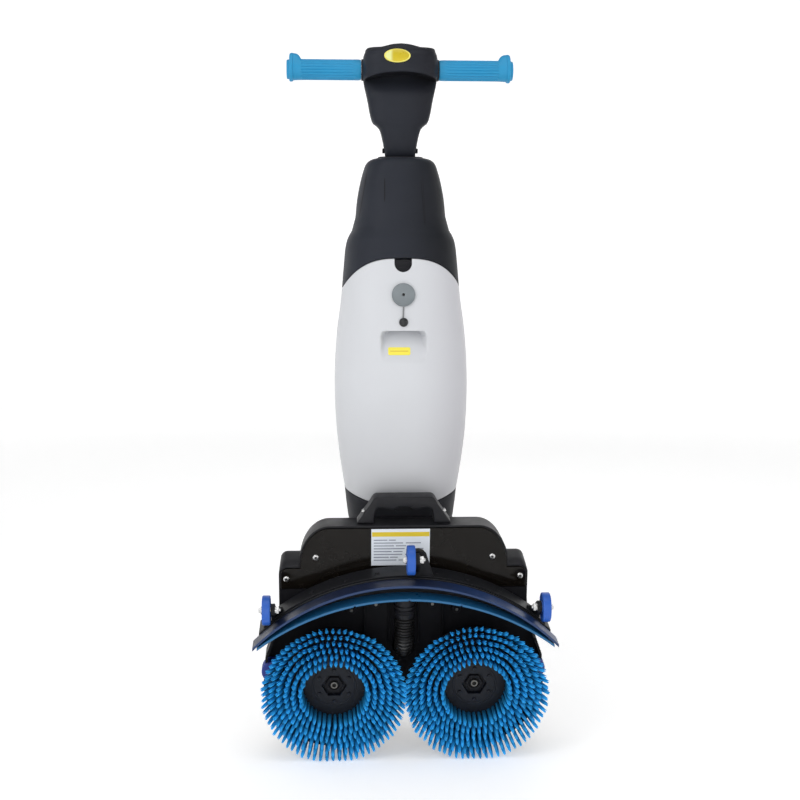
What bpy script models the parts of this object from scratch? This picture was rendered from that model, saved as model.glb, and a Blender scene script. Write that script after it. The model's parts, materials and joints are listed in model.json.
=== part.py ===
"""Twin-brush floor scrubber-dryer, parked upright with its scrub deck tipped up.

Metres, +Z up, -Y is the side that shows the deck's underside. The origin is on the floor, at the
middle of the machine's footprint box.

Two frames are used. The deck frame leans back by DECK_TILT about +X: its x runs across the machine,
its y is the height above the bristle tips (towards the top cover), and its z runs from the brush
centres towards the squeegee, which is the rear when the deck lies on the floor and up when it is
parked. The column frame is upright, with its origin on the floor under the column's middle.
"""
from math import asin, atan2, copysign, cos, pi, radians, sin, sqrt

import bmesh
import bpy
from mathutils import Vector

for old in list(bpy.data.objects):
    bpy.data.objects.remove(old, do_unlink=True)

# ---------------------------------------------------------------- driving dimensions
GAP = 0.0003                    # between touching pieces
DECK_TILT = radians(10)
BRUSH_X = 0.1145                # brush axis from the machine's centre line
TIP_RADIUS = 0.112
ROOT_RADIUS = 0.101
BRISTLE_INNER = 0.049
BRISTLE_LENGTH = 0.045
WALL = 0.003                    # moulded covers

COLUMN_BEHIND = 0.188           # column middle behind the deck frame's origin
PIVOT_REAR, PIVOT_HEIGHT = 0.080, 0.215      # pitch axis, deck frame z and y
ROLL_RISE = 0.045               # roll axis above the pitch axis
NECK_PIN_Z = 0.995
LUG_RADIUS, LUG_HALF = 0.0085, 0.0050        # the neck lug's round end, and half its thickness
GRIP_AXIS_Z = 1.129
HANDLEBAR_HALF = 0.190

TRANSPORT_REAR, TRANSPORT_HEIGHT = -0.106, 0.190
REAR_ARC = (-0.149, 0.338)      # rear blade: centre (deck z) and radius
FRONT_ARC = (-0.218, 0.385)     # front blade
BLADE_THICKNESS = 0.0036
BLADE_HEIGHT = 0.030
SQUEEGEE_TOP = 0.082
SQUEEGEE_WHEEL_RADIUS = 0.0235

BASE_TOP = 0.096
HOUSING_TOP = 0.150
HUMP_REAR, HUMP_HALF, HUMP_FLAT = 0.256, 0.172, 0.121
BLOCK_HALF = 0.204
SPINE_HALF = 0.026              # half the thickness of the spine between the tanks
SECTION_POWER = 3.0             # how square the column's cross-section is
SEAM_GAP = 0.0008               # between a tank and the dome
SEAM_DROP = 0.0070              # how far the dome's lower edge slopes down from the face to the spine

# The column's outline: height, half width, half depth.
COLUMN_PROFILE = (
    (0.304, 0.0580, 0.0500), (0.318, 0.0690, 0.0600), (0.350, 0.0830, 0.0700),
    (0.390, 0.0915, 0.0790), (0.424, 0.0950, 0.0900), (0.440, 0.0975, 0.0960),
    (0.490, 0.1050, 0.1100), (0.541, 0.1100, 0.1190), (0.600, 0.1120, 0.1240),
    (0.642, 0.1110, 0.1230), (0.692, 0.1075, 0.1190), (0.743, 0.1010, 0.1120),
    (0.768, 0.0985, 0.1080), (0.810, 0.0950, 0.1025), (0.830, 0.0930, 0.0995),
    (0.843, 0.0905, 0.0970), (0.852, 0.0868, 0.0935), (0.862, 0.0812, 0.0890),
    (0.877, 0.0765, 0.0850), (0.911, 0.0730, 0.0805), (0.944, 0.0668, 0.0745),
    (0.961, 0.0620, 0.0700), (0.969, 0.0592, 0.0670), (0.9745, 0.0550, 0.0625),
    (0.9780, 0.0490, 0.0560), (0.9800, 0.0400, 0.0460),
)
# The head's outline: height, half width, front depth, rear depth.
HEAD_PROFILE = (
    (0.9865, 0.0255, 0.0110, 0.0078), (0.9920, 0.0262, 0.0135, 0.0100),
    (1.0000, 0.0275, 0.0155, 0.0130), (1.0135, 0.0300, 0.0175, 0.0170),
    (1.0355, 0.0358, 0.0195, 0.0195), (1.0455, 0.0470, 0.0220, 0.0220),
    (1.0820, 0.0557, 0.0250, 0.0270), (1.1065, 0.0610, 0.0265, 0.0300),
    (1.1220, 0.0628, 0.0268, 0.0310), (1.1330, 0.0632, 0.0270, 0.0310),
    (1.1488, 0.0618, 0.0270, 0.0310), (1.1565, 0.0590, 0.0270, 0.0285),
)
HOOD_DEPTH = ((1.1220, 0.0460), (1.1330, 0.0475), (1.1488, 0.0445), (1.1565, 0.0400))

# ---------------------------------------------------------------- placement
PIVOT_Y = -PIVOT_REAR * sin(DECK_TILT) + PIVOT_HEIGHT * cos(DECK_TILT)
DECK_LIFT = TIP_RADIUS * cos(DECK_TILT)
FRONT_REACH = -(0.225 * sin(DECK_TILT) - SQUEEGEE_WHEEL_RADIUS * cos(DECK_TILT)) - SQUEEGEE_WHEEL_RADIUS
BACK_REACH = COLUMN_BEHIND + 0.124 + 0.0005
DECK_Y = -(FRONT_REACH + BACK_REACH) / 2
COLUMN_Y = DECK_Y + COLUMN_BEHIND
PITCH_AXIS = Vector((0, DECK_Y + PIVOT_Y,
                     DECK_LIFT + PIVOT_REAR * cos(DECK_TILT) + PIVOT_HEIGHT * sin(DECK_TILT)))
ROLL_Z = PITCH_AXIS.z + ROLL_RISE


def empty(name, location, rotation=(0, 0, 0)):
    frame = bpy.data.objects.new(name, None)
    frame.location = location
    frame.rotation_euler = rotation
    bpy.context.scene.collection.objects.link(frame)
    return frame


deck_frame = empty("deck_frame", (0, DECK_Y, DECK_LIFT), (DECK_TILT, 0, 0))
column_frame = empty("column_frame", (0, COLUMN_Y, 0))


# ---------------------------------------------------------------- materials
def material(name, colour, roughness, metallic=0.0):
    made = bpy.data.materials.new(name)
    made.use_nodes = True
    shader = made.node_tree.nodes["Principled BSDF"]
    shader.inputs["Base Color"].default_value = (*colour, 1)
    shader.inputs["Roughness"].default_value = roughness
    shader.inputs["Metallic"].default_value = metallic
    return made


CHARCOAL = material("charcoal_plastic", (0.035, 0.037, 0.045), 0.55)
DECK_BLACK = material("deck_black_plastic", (0.030, 0.030, 0.034), 0.45)
GLOSS_BLACK = material("gloss_black_panel", (0.016, 0.015, 0.013), 0.15)
WHITE = material("white_tank_plastic", (0.76, 0.77, 0.80), 0.35)
GREY_TANK = material("grey_tank_plastic", (0.22, 0.23, 0.25), 0.40)
CAP_GREY = material("cap_grey_plastic", (0.28, 0.33, 0.35), 0.45)
GRIP_BLUE = material("grip_blue_rubber", (0.045, 0.36, 0.66), 0.55)
BRISTLE_BLUE = material("bristle_blue_nylon", (0.03, 0.30, 0.62), 0.50)
WHEEL_BLUE = material("wheel_blue_plastic", (0.04, 0.17, 0.60), 0.40)
ROLLER_BLUE = material("roller_navy_rubber", (0.03, 0.05, 0.25), 0.50)
REAR_RUBBER = material("blade_navy_rubber", (0.03, 0.07, 0.22), 0.45)
FRONT_RUBBER = material("blade_teal_rubber", (0.02, 0.16, 0.32), 0.45)
STEEL = material("stainless_steel", (0.60, 0.60, 0.60), 0.30, 1.0)
HOSE_BLACK = material("hose_black_rubber", (0.02, 0.02, 0.022), 0.50)
TYRE_GREY = material("tyre_grey_rubber", (0.06, 0.06, 0.065), 0.60)
BATTERY_GREY = material("battery_grey_plastic", (0.10, 0.11, 0.12), 0.50)
MOTOR_METAL = material("motor_metal", (0.35, 0.36, 0.37), 0.40, 1.0)


# ---------------------------------------------------------------- mesh tools
def solid(name, verts, faces, surface, frame, location=(0, 0, 0), rotation=(0, 0, 0), smooth_to=35):
    """A closed mesh object, its faces pointing out, smooth below the given edge angle."""
    mesh = bpy.data.meshes.new(name)
    mesh.from_pydata([tuple(v) for v in verts], [], faces)
    shell = bmesh.new()
    shell.from_mesh(mesh)
    bmesh.ops.remove_doubles(shell, verts=shell.verts, dist=1e-6)
    bmesh.ops.recalc_face_normals(shell, faces=shell.faces)
    shell.to_mesh(mesh)
    shell.free()
    mesh.shade_smooth()
    mesh.set_sharp_from_angle(angle=radians(smooth_to))
    mesh.materials.append(surface)
    made = bpy.data.objects.new(name, mesh)
    made.parent = frame
    made.location = location
    made.rotation_euler = rotation
    bpy.context.scene.collection.objects.link(made)
    return made


def loft(sections, ring=False):
    """Skin a run of equal point loops. A ring joins the last loop to the first, else both are capped."""
    count = len(sections[0])
    verts = [point for section in sections for point in section]
    faces = []
    spans = len(sections) if ring else len(sections) - 1
    for a in range(spans):
        b = (a + 1) % len(sections)
        for k in range(count):
            n = (k + 1) % count
            faces.append((a * count + k, a * count + n, b * count + n, b * count + k))
    if not ring:
        for section, start in ((sections[0], 0), (sections[-1], len(verts) - count)):
            if (section[0] - section[count // 2]).length > 1e-7:
                faces.append(tuple(range(start, start + count)))
    return verts, faces


def circle(radius, height, count):
    return [Vector((radius * cos(2 * pi * k / count), radius * sin(2 * pi * k / count), height))
            for k in range(count)]


def lathe(profile, count=24, ring=False):
    """Turn (radius, height) points about z."""
    return loft([circle(radius, height, count) for radius, height in profile], ring)


PLANES = {
    "xz": lambda u, v, w: Vector((u, w, v)),     # outline in x and z, extruded along y
    "xy": lambda u, v, w: Vector((u, v, w)),     # outline in x and y, extruded along z
    "yz": lambda u, v, w: Vector((w, u, v)),     # outline in y and z, extruded along x
}


def prism(outline, low, high, plane="xz"):
    place = PLANES[plane]
    return loft([[place(u, v, w) for u, v in outline] for w in (low, high)])


def block(size_low, size_high):
    (x0, y0, z0), (x1, y1, z1) = size_low, size_high
    return prism([(x0, z0), (x1, z0), (x1, z1), (x0, z1)], y0, y1)


def arc(centre, radius, start, end, steps):
    """Points on a circle or, with a pair of radii, an ellipse. Angles in degrees."""
    across, up = radius if isinstance(radius, tuple) else (radius, radius)
    return [(centre[0] + across * cos(radians(start + (end - start) * k / steps)),
             centre[1] + up * sin(radians(start + (end - start) * k / steps)))
            for k in range(steps + 1)]


def mirrored(half):
    """Close a right-hand half outline that starts and ends on the centre line."""
    left = [(-u, v) for u, v in reversed(half) if u > 1e-9]
    return half + left


def inset(outline, distance):
    """Move each corner of a clockwise outline inwards along its mean normal."""
    moved = []
    count = len(outline)
    for k, (u, v) in enumerate(outline):
        before = Vector(outline[k - 1])
        after = Vector(outline[(k + 1) % count])
        here = Vector((u, v))
        first = (here - before).normalized()
        second = (after - here).normalized()
        normal = Vector((first.y + second.y, -first.x - second.x))
        stretch = max(0.5, 1 + first.dot(second))
        moved.append(tuple(here + normal * (distance / stretch)))
    return moved


def combine(target, tool, operation="DIFFERENCE"):
    tool.hide_render = True
    tool.display_type = "WIRE"
    change = target.modifiers.new(tool.name, "BOOLEAN")
    change.operation = operation
    change.object = tool
    change.solver = "EXACT"


def cutter(name, shape, frame, **place):
    return solid(name, *shape, CHARCOAL, frame, **place)


ALONG_X = (0, pi / 2, 0)        # turns a lathe's z to +x
ALONG_MINUS_X = (0, -pi / 2, 0)
ALONG_Y = (-pi / 2, 0, 0)       # turns a lathe's z to +y
ALONG_MINUS_Y = (pi / 2, 0, 0)


# ---------------------------------------------------------------- deck outlines
def arc_point(ring, x):
    centre, radius = ring
    return centre + sqrt(radius ** 2 - x ** 2)


def brush_skirt(radius, start, waist):
    """The right brush's rim from its outer side round the front to the waist between the brushes."""
    return arc((BRUSH_X, 0), radius, start, -160, 11) + [(0, waist)]


def base_outline():
    half = [(0, 0.150), (0.201, 0.150), (0.204, 0.118), (0.2155, 0.075), (0.226, 0.045)]
    return mirrored(half + brush_skirt(0.115, 14, -0.036))


def housing_outline(height):
    """Top cover at this height: hump, side block with its drafted rear face, brush rims."""
    draft = min(1.0, (height - BASE_TOP) / 0.044)
    block_rear = 0.188 + 0.011 * draft
    shoulder_low, shoulder = 0.186, 0.070
    angle = max(0.0, (block_rear - shoulder_low) / shoulder)
    end = asin(min(1.0, angle)) * 180 / pi
    half = [(0, HUMP_REAR)]
    half += arc((HUMP_FLAT, shoulder_low), (HUMP_HALF - HUMP_FLAT, shoulder), 90, end, 7)
    half += arc((BLOCK_HALF - 0.014, block_rear - 0.014), 0.014, 90, 0, 3)
    half += [(BLOCK_HALF, 0.118), (0.2125, 0.075), (0.223, 0.045)]
    return mirrored(half + brush_skirt(0.112, 14, -0.034))


# ---------------------------------------------------------------- deck
def make_deck_base():
    base = solid("deck_base", *prism(base_outline(), 0.058, BASE_TOP), DECK_BLACK, deck_frame)
    combine(base, cutter("base_hollow", prism(inset(base_outline(), 0.004), 0.050, 0.089), deck_frame))
    combine(base, cutter("squeegee_bay", block((-0.3, 0.040, 0.074), (0.3, 0.089, 0.20)), deck_frame))
    for side, x in (("left", -BRUSH_X), ("right", BRUSH_X)):
        combine(base, cutter(f"shaft_hole_{side}", lathe([(0.016, 0.08), (0.016, 0.11)], 16),
                             deck_frame, location=(x, 0, 0), rotation=ALONG_Y))
        bay = lathe([(0.0215, 0.04), (0.0215, 0.0885)], 20)
        combine(base, cutter(f"roller_bay_{side}", bay, deck_frame,
                             location=(copysign(0.214, x), 0, 0.017), rotation=ALONG_Y))
    combine(base, cutter("hose_hole", lathe([(0.0185, 0.08), (0.0185, 0.11)], 16),
                         deck_frame, location=(0, 0, 0.050), rotation=ALONG_Y))


def make_housing():
    levels = ((BASE_TOP + GAP, 0.0), (0.125, 0.001), (0.141, 0.002), (0.1475, 0.0045), (HOUSING_TOP, 0.009))
    outer = [[Vector((u, height, v)) for u, v in inset(housing_outline(height), edge)]
             for height, edge in levels]
    inner = [[Vector((u, height, v)) for u, v in inset(housing_outline(height), WALL + edge)]
             for height, edge in ((0.1465, 0.004), (0.140, 0.002), (BASE_TOP + GAP, 0.0))]
    solid("deck_housing", *loft(inner + outer), DECK_BLACK, deck_frame)


def make_underside_panel():
    outline = [(u, v) for u, v in inset(housing_outline(BASE_TOP), 0.0035) if v > 0.150]
    edge = max(u for u, v in outline)
    rim = [(-edge, 0.1505)] + sorted((p for p in outline if p[0] < 0), key=lambda p: (p[0], p[1]))
    rim += sorted((p for p in outline if p[0] >= 0), key=lambda p: (p[0], -p[1])) + [(edge, 0.1505)]
    solid("underside_panel", *prism(rim, 0.0925, 0.0960), GLOSS_BLACK, deck_frame)


def make_carry_handle():
    low = HUMP_REAR + GAP
    outline = [(-0.077, low), (-0.0735, low + 0.006), (-0.0510, 0.2955), (-0.0455, 0.301),
               (0.0455, 0.301), (0.0510, 0.2955), (0.0735, low + 0.006), (0.077, low)]
    handle = solid("carry_handle", *prism(outline, 0.106, 0.134), DECK_BLACK, deck_frame)
    hole = [(-0.0475, 0.240), (-0.0475, 0.279), (-0.0410, 0.2855), (-0.014, 0.2865), (0.014, 0.2865),
            (0.0410, 0.2855), (0.0475, 0.279), (0.0475, 0.240)]
    combine(handle, cutter("handle_gap", prism(hole, 0.09, 0.15), deck_frame))


def make_brush_motors():
    profile = [(0, 0.0625), (0.0070, 0.0625), (0.0070, 0.0975), (0.0425, 0.0975),
               (0.0425, 0.1445), (0, 0.1445)]
    for side, x in (("left", -BRUSH_X), ("right", BRUSH_X)):
        solid(f"brush_motor_{side}", *lathe(profile, 20), MOTOR_METAL, deck_frame,
              location=(x, 0, 0), rotation=ALONG_Y)


def sweep(path, radii, count=10):
    """A round tube along a path that stays in the deck frame's yz plane."""
    sections = []
    for k, here in enumerate(path):
        before = path[max(0, k - 1)]
        after = path[min(len(path) - 1, k + 1)]
        along = (after - before).normalized()
        across = Vector((1, 0, 0))
        third = along.cross(across)
        sections.append([here + radii[k] * (across * cos(2 * pi * j / count) + third * sin(2 * pi * j / count))
                         for j in range(count)])
    return loft(sections)


def make_hose():
    """Bellows hose from the squeegee's port, turning up through the hole in the base."""
    bend_centre, bend_radius = Vector((0, 0.094, 0.074)), 0.0260
    straight = [Vector((0, 0.068, 0.1115 - 0.0042 * k)) for k in range(9)]
    bend = [bend_centre + bend_radius * Vector((0, -cos(radians(a)), -sin(radians(a))))
            for a in range(10, 91, 10)]
    path = straight + bend
    radii = [0.0160] + [0.0160 if k % 2 else 0.0132 for k in range(1, len(path))]
    solid("suction_hose", *sweep(path, radii), HOSE_BLACK, deck_frame, smooth_to=20)


def make_transport_gear():
    radius = DECK_LIFT + TRANSPORT_REAR * cos(DECK_TILT) + TRANSPORT_HEIGHT * sin(DECK_TILT)
    axle = (0, TRANSPORT_HEIGHT, TRANSPORT_REAR)
    boss = arc((TRANSPORT_HEIGHT, TRANSPORT_REAR), 0.011, 60, -120, 8)
    ear = [(HOUSING_TOP + GAP, -0.020), (HOUSING_TOP + 0.007, -0.020), (HOUSING_TOP + 0.007, -0.034)]
    ear += boss + [(HOUSING_TOP + GAP, -0.074)]
    bracket = solid("wheel_bracket", *prism(ear, -0.084, 0.084, "yz"), DECK_BLACK, deck_frame)
    combine(bracket, cutter("bracket_gap", block((-0.076, 0.1575, -0.20), (0.076, 0.25, 0.02)), deck_frame))
    combine(bracket, cutter("bracket_waist", block((-0.045, 0.12, -0.20), (0.045, 0.25, -0.045)), deck_frame))
    combine(bracket, cutter("axle_bore", lathe([(0.0053, -0.1), (0.0053, 0.1)], 16), deck_frame,
                            location=axle, rotation=ALONG_X))
    rod = [(0, -0.121), (0.0080, -0.120), (0.0080, -0.1170), (0.0050, -0.1170),
           (0.0050, 0.1170), (0.0080, 0.1170), (0.0080, 0.120), (0, 0.121)]
    solid("transport_axle", *lathe(rod, 12), STEEL, deck_frame, location=axle, rotation=ALONG_X)
    wheel = [(0.0053, -0.0155), (0.0160, -0.0155), (0.0175, -0.0120), (radius - 0.006, -0.0140),
             (radius, -0.0095), (radius, 0.0095), (radius - 0.006, 0.0140), (0.0175, 0.0120),
             (0.0160, 0.0155), (0.0053, 0.0155)]
    for side, x in (("left", -0.1005), ("right", 0.1005)):
        solid(f"transport_wheel_{side}", *lathe(wheel, 24, ring=True), TYRE_GREY, deck_frame,
              location=(x, TRANSPORT_HEIGHT, TRANSPORT_REAR), rotation=ALONG_X)


def make_joint_yoke():
    top = arc((PIVOT_HEIGHT, PIVOT_REAR), 0.016, 90, -90, 8)
    ear = [(HOUSING_TOP + GAP, 0.118), (0.160, 0.118), (0.166, 0.104)] + top
    ear += [(0.166, 0.056), (0.160, 0.042), (HOUSING_TOP + GAP, 0.042)]
    yoke = solid("joint_yoke", *prism(ear, -0.044, 0.044, "yz"), CHARCOAL, deck_frame)
    combine(yoke, cutter("yoke_gap", block((-0.034, 0.160, 0.0), (0.034, 0.26, 0.16)), deck_frame))
    combine(yoke, cutter("pitch_bore", lathe([(0.0083, -0.06), (0.0083, 0.06)], 16), deck_frame,
                         location=(0, PIVOT_HEIGHT, PIVOT_REAR), rotation=ALONG_X))
    pin = [(0, -0.0485), (0.0125, -0.0475), (0.0125, -0.0443), (0.0080, -0.0443),
           (0.0080, 0.0443), (0.0125, 0.0443), (0.0125, 0.0475), (0, 0.0485)]
    solid("pitch_pin", *lathe(pin, 16), STEEL, deck_frame,
          location=(0, PIVOT_HEIGHT, PIVOT_REAR), rotation=ALONG_X)


# ---------------------------------------------------------------- brushes and rollers
def make_brushes():
    bristle = [(BRISTLE_INNER, BRISTLE_LENGTH - GAP), (BRISTLE_INNER + 0.002, 0), (TIP_RADIUS, 0),
               (ROOT_RADIUS, BRISTLE_LENGTH - GAP)]
    plate = [(0, 0.045), (0.096, 0.045), (0.0985, 0.0475), (0.0975, 0.0535), (0.030, 0.0535),
             (0.027, 0.0560), (0.025, 0.0840), (0.0073, 0.0840), (0.0073, 0.0620), (0, 0.0620)]
    for side, x in (("left", -BRUSH_X), ("right", BRUSH_X)):
        at = {"location": (x, 0, 0), "rotation": ALONG_Y}
        solid(f"bristles_{side}", *lathe(bristle, 40, ring=True), BRISTLE_BLUE, deck_frame, **at)
        disc = solid(f"brush_plate_{side}", *lathe(plate, 32), DECK_BLACK, deck_frame, **at)
        hexagon = lathe([(0.0195, 0.030), (0.0195, 0.0535)], 6)
        combine(disc, cutter(f"hex_recess_{side}", hexagon, deck_frame, **at))


def make_wall_rollers():
    roller = [(0.0042, 0.062), (0.0170, 0.062), (0.0190, 0.064), (0.0190, 0.084), (0.0170, 0.086),
              (0.0042, 0.086)]
    bolt = [(0, 0.0572), (0.0060, 0.0572), (0.0070, 0.0582), (0.0070, 0.0615), (0.0038, 0.0615),
            (0.0038, 0.0882), (0, 0.0882)]
    for side, x in (("left", -0.214), ("right", 0.214)):
        at = {"location": (x, 0, 0.017), "rotation": ALONG_Y}
        solid(f"wall_roller_{side}", *lathe(roller, 20, ring=True), ROLLER_BLUE, deck_frame, **at)
        solid(f"roller_bolt_{side}", *lathe(bolt, 8), STEEL, deck_frame, **at)


# ---------------------------------------------------------------- squeegee
def bow(inner, outer, low, high, half, steps=20):
    """A curved bar between two arcs (centre, radius), from low to high, out to the given half width."""
    sections = []
    for k in range(steps + 1):
        x = half * sin(pi / 2 * (2 * k / steps - 1))
        near, far = arc_point(inner, x), arc_point(outer, x)
        sections.append([Vector((x, low, near)), Vector((x, high, near)),
                         Vector((x, high, far)), Vector((x, low, far))])
    return loft(sections)


def grown(ring, amount):
    return ring[0], ring[1] + amount


def make_squeegee():
    half = BLADE_THICKNESS / 2
    solid("rear_blade", *bow(grown(REAR_ARC, -half), grown(REAR_ARC, half), 0, BLADE_HEIGHT, 0.243),
          REAR_RUBBER, deck_frame)
    solid("front_blade", *bow(grown(FRONT_ARC, -half), grown(FRONT_ARC, half), 0, BLADE_HEIGHT, 0.236),
          FRONT_RUBBER, deck_frame)
    strip_outer = REAR_ARC[1] - half - 0.0008
    solid("blade_clamp", *bow((REAR_ARC[0], strip_outer - 0.0016), (REAR_ARC[0], strip_outer),
                              0.012, BLADE_HEIGHT, 0.205), STEEL, deck_frame)

    frame = solid("squeegee_frame",
                  *bow(grown(FRONT_ARC, -0.006), grown(REAR_ARC, 0.004), BLADE_HEIGHT + GAP,
                       SQUEEGEE_TOP, 0.234), DECK_BLACK, deck_frame)
    for name, x, z in WHEEL_PLACES:
        inward = 1 if x < 0.1 else -1
        near = x + inward * (0.0065 + GAP + 0.0007)
        far = near + inward * 0.006
        root = arc_point(grown(REAR_ARC, 0.004), near)
        plate = [(SQUEEGEE_TOP - 0.010, root - 0.010), (SQUEEGEE_TOP - 0.010, root + 0.006)]
        plate += arc((SQUEEGEE_WHEEL_RADIUS, z), 0.0105, 50, 215, 8)
        plate += [(BLADE_HEIGHT + 0.005, root + 0.007), (BLADE_HEIGHT + 0.006, root - 0.010)]
        combine(frame, cutter(f"ear_{name}", prism(plate, min(near, far), max(near, far), "yz"),
                              deck_frame), "UNION")
        combine(frame, cutter(f"ear_bore_{name}", lathe([(0.0043, -0.03), (0.0043, 0.03)], 12), deck_frame,
                              location=(near, SQUEEGEE_WHEEL_RADIUS, z), rotation=ALONG_X))
    solid("suction_port", *lathe([(0, 0.1122), (0.0160, 0.1122), (0.0160, 0.1280), (0.0180, 0.1290),
                                  (0.0180, 0.1330), (0.0160, 0.1340), (0.0160, 0.1597), (0, 0.1597)], 16),
          DECK_BLACK, deck_frame, location=(0, 0.064, 0))

    wheel = [(0.0043, -0.0065), (0.0222, -0.0065), (SQUEEGEE_WHEEL_RADIUS, -0.0048),
             (SQUEEGEE_WHEEL_RADIUS, 0.0048), (0.0222, 0.0065), (0.0043, 0.0065)]
    bolt = [(0, -0.0125), (0.0050, -0.0125), (0.0062, -0.0110), (0.0062, -0.0070), (0.0040, -0.0070),
            (0.0040, 0.0140), (0.0066, 0.0140), (0.0066, 0.0200), (0.0030, 0.0200), (0.0030, 0.0225),
            (0, 0.0225)]
    for name, x, z in WHEEL_PLACES:
        at = (x, SQUEEGEE_WHEEL_RADIUS, z)
        turned = ALONG_X if x < 0.1 else ALONG_MINUS_X
        solid(f"squeegee_wheel_{name}", *lathe(wheel, 24, ring=True), WHEEL_BLUE, deck_frame,
              location=at, rotation=turned)
        solid(f"wheel_bolt_{name}", *lathe(bolt, 8), STEEL, deck_frame, location=at, rotation=turned)


WHEEL_PLACES = (("left", -0.2210, 0.1430), ("centre", 0.0070, 0.2250), ("right", 0.2230, 0.1430))


# ---------------------------------------------------------------- column
def between(rows, height):
    """The row's values at a height, straight between the rows."""
    if height <= rows[0][0]:
        return rows[0][1:]
    for low, high in zip(rows, rows[1:]):
        if height <= high[0]:
            share = (height - low[0]) / (high[0] - low[0])
            return tuple(a + (b - a) * share for a, b in zip(low[1:], high[1:]))
    return rows[-1][1:]


def column_size(z):
    return between(COLUMN_PROFILE, z)


def tank_arch(x, y):
    """The seam between the tanks and the dome: an arch that drops at the sides. It also slopes down
    towards the spine, so that a tank clears the dome as it tips out about its bottom edge."""
    front = 0.1025
    slope = min(1.0, max(0.0, (front - abs(y)) / (front - SPINE_HALF)))
    return 0.812 - 0.0405 * abs(x / 0.0983) ** 3 - SEAM_DROP * slope


def low_seam(x, y):
    """The seam between the tanks and the lower shell, which sags in the middle."""
    return 0.398 + 2.9 * x ** 2


def level(z):
    return lambda x, y: z


def section_point(row, angle, shrink, power=SECTION_POWER):
    """A point of a rounded-square section. The row gives z from x and y, and the half sizes from z."""
    height_at, size_at = row
    z = height_at(0, 0)
    for _ in range(8):
        width, depth = size_at(z)
        x = (width - shrink) * copysign(abs(cos(angle)) ** (2 / power), cos(angle))
        y = (depth - shrink) * abs(sin(angle)) ** (2 / power)
        z = height_at(x, y)
    return Vector((x, y, z))


def half_shell(side, outer_rows, inner_rows, wall, power=SECTION_POWER, steps=16):
    """Half of a tubular cover, split at y = 0: an outer and an inner skin joined round their rims.
    side is -1 for the front half and 1 for the rear half."""
    columns = steps + 1
    verts = []
    for rows, shrink in ((outer_rows, 0.0), (inner_rows, wall)):
        for row in rows:
            for k in range(columns):
                p = section_point(row, pi * k / steps, shrink, power)
                verts.append(Vector((p.x, side * (p.y + GAP / 2), p.z)))
    top, inner = len(outer_rows), len(outer_rows) * columns
    low_top = len(inner_rows)
    faces = []
    for start, count in ((0, top), (inner, low_top)):
        for j in range(count - 1):
            for k in range(steps):
                a = start + j * columns + k
                faces.append((a, a + 1, a + columns + 1, a + columns))
    for outer_row, inner_row in ((0, 0), (top - 1, low_top - 1)):
        for k in range(steps):
            a, b = outer_row * columns + k, inner + inner_row * columns + k
            faces.append((a, a + 1, b + 1, b))
    for k in (0, steps):
        outer_edge = [j * columns + k for j in range(top)]
        inner_edge = [inner + j * columns + k for j in range(low_top)]
        if top == low_top:
            for j in range(top - 1):
                faces.append((outer_edge[j], outer_edge[j + 1], inner_edge[j + 1], inner_edge[j]))
        else:
            faces.append(tuple(outer_edge + inner_edge[::-1]))
    return verts, faces


def half_tank(side, rows, back, shrink, steps=14):
    """Half of the column as a solid, from its curved face to the flat plane |y| = back."""
    columns = steps + 1
    verts, faces = [], []
    for row in rows:
        start = 0.0
        for _ in range(3):
            z = section_point(row, start, shrink).z
            depth = row[1](z)[1] - shrink
            start = asin((back / depth) ** (SECTION_POWER / 2))
        for k in range(columns):
            p = section_point(row, start + (pi - 2 * start) * k / steps, shrink)
            verts.append(Vector((p.x, side * (back if k in (0, steps) else p.y), p.z)))
    for j in range(len(rows) - 1):
        for k in range(steps):
            a = j * columns + k
            faces.append((a, a + 1, a + columns + 1, a + columns))
    edges = {}
    for name, j in (("low", 0), ("high", len(rows) - 1)):
        first = j * columns
        behind = [first]
        for k in range(1, steps):
            p = verts[first + k]
            behind.append(len(verts))
            verts.append(Vector((p.x, side * back, rows[j][0](p.x, back))))
        behind.append(first + steps)
        for k in range(steps):
            corners = (first + k, first + k + 1, behind[k + 1], behind[k])
            faces.append(tuple(dict.fromkeys(corners)))
        edges[name] = behind
    left = [j * columns + steps for j in range(1, len(rows) - 1)]
    right = [j * columns for j in range(1, len(rows) - 1)]
    faces.append(tuple(edges["low"] + left + edges["high"][::-1] + right[::-1]))
    return verts, faces


def tank_rows(wall):
    """Rows of a tank's skin; the inner skin's rows stand off the seams by the wall."""
    heights = (0.440, 0.490, 0.541, 0.600, 0.642, 0.692, 0.743, 0.760)
    rows = [(lambda x, y: low_seam(x, y) + GAP + wall, column_size)]
    rows += [(level(z), column_size) for z in heights]
    rows.append((lambda x, y: tank_arch(x, y) - SEAM_GAP - wall, column_size))
    return rows


RECESS = {"width": 0.072, "low": 0.662, "high": 0.693, "depth": 0.026}
LATCH = {"width": 0.0285, "low": 0.7890, "depth": 0.022}
FILLER_Z = 0.752
FILLER_NORMAL = 0.158           # how steeply the tank's face leans back at the filler


def recess_outline(side, grow):
    """Side view of the hand recess: a flat ceiling over a scoop that runs out to the tank's face."""
    face = column_size(RECESS["high"])[1]
    deep = face - RECESS["depth"] - grow
    low, high = RECESS["low"] - grow, RECESS["high"] + grow
    rise = high - low
    curve = [(deep + (RECESS["depth"] + 0.003 + grow) * (k / 5) ** 1.6, high - rise * (0.15 + 0.85 * k / 5))
             for k in range(6)]
    outline = [(0.2, high), (deep, high)] + curve + [(0.2, low)]
    return [(side * u, v) for u, v in outline]


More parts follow.
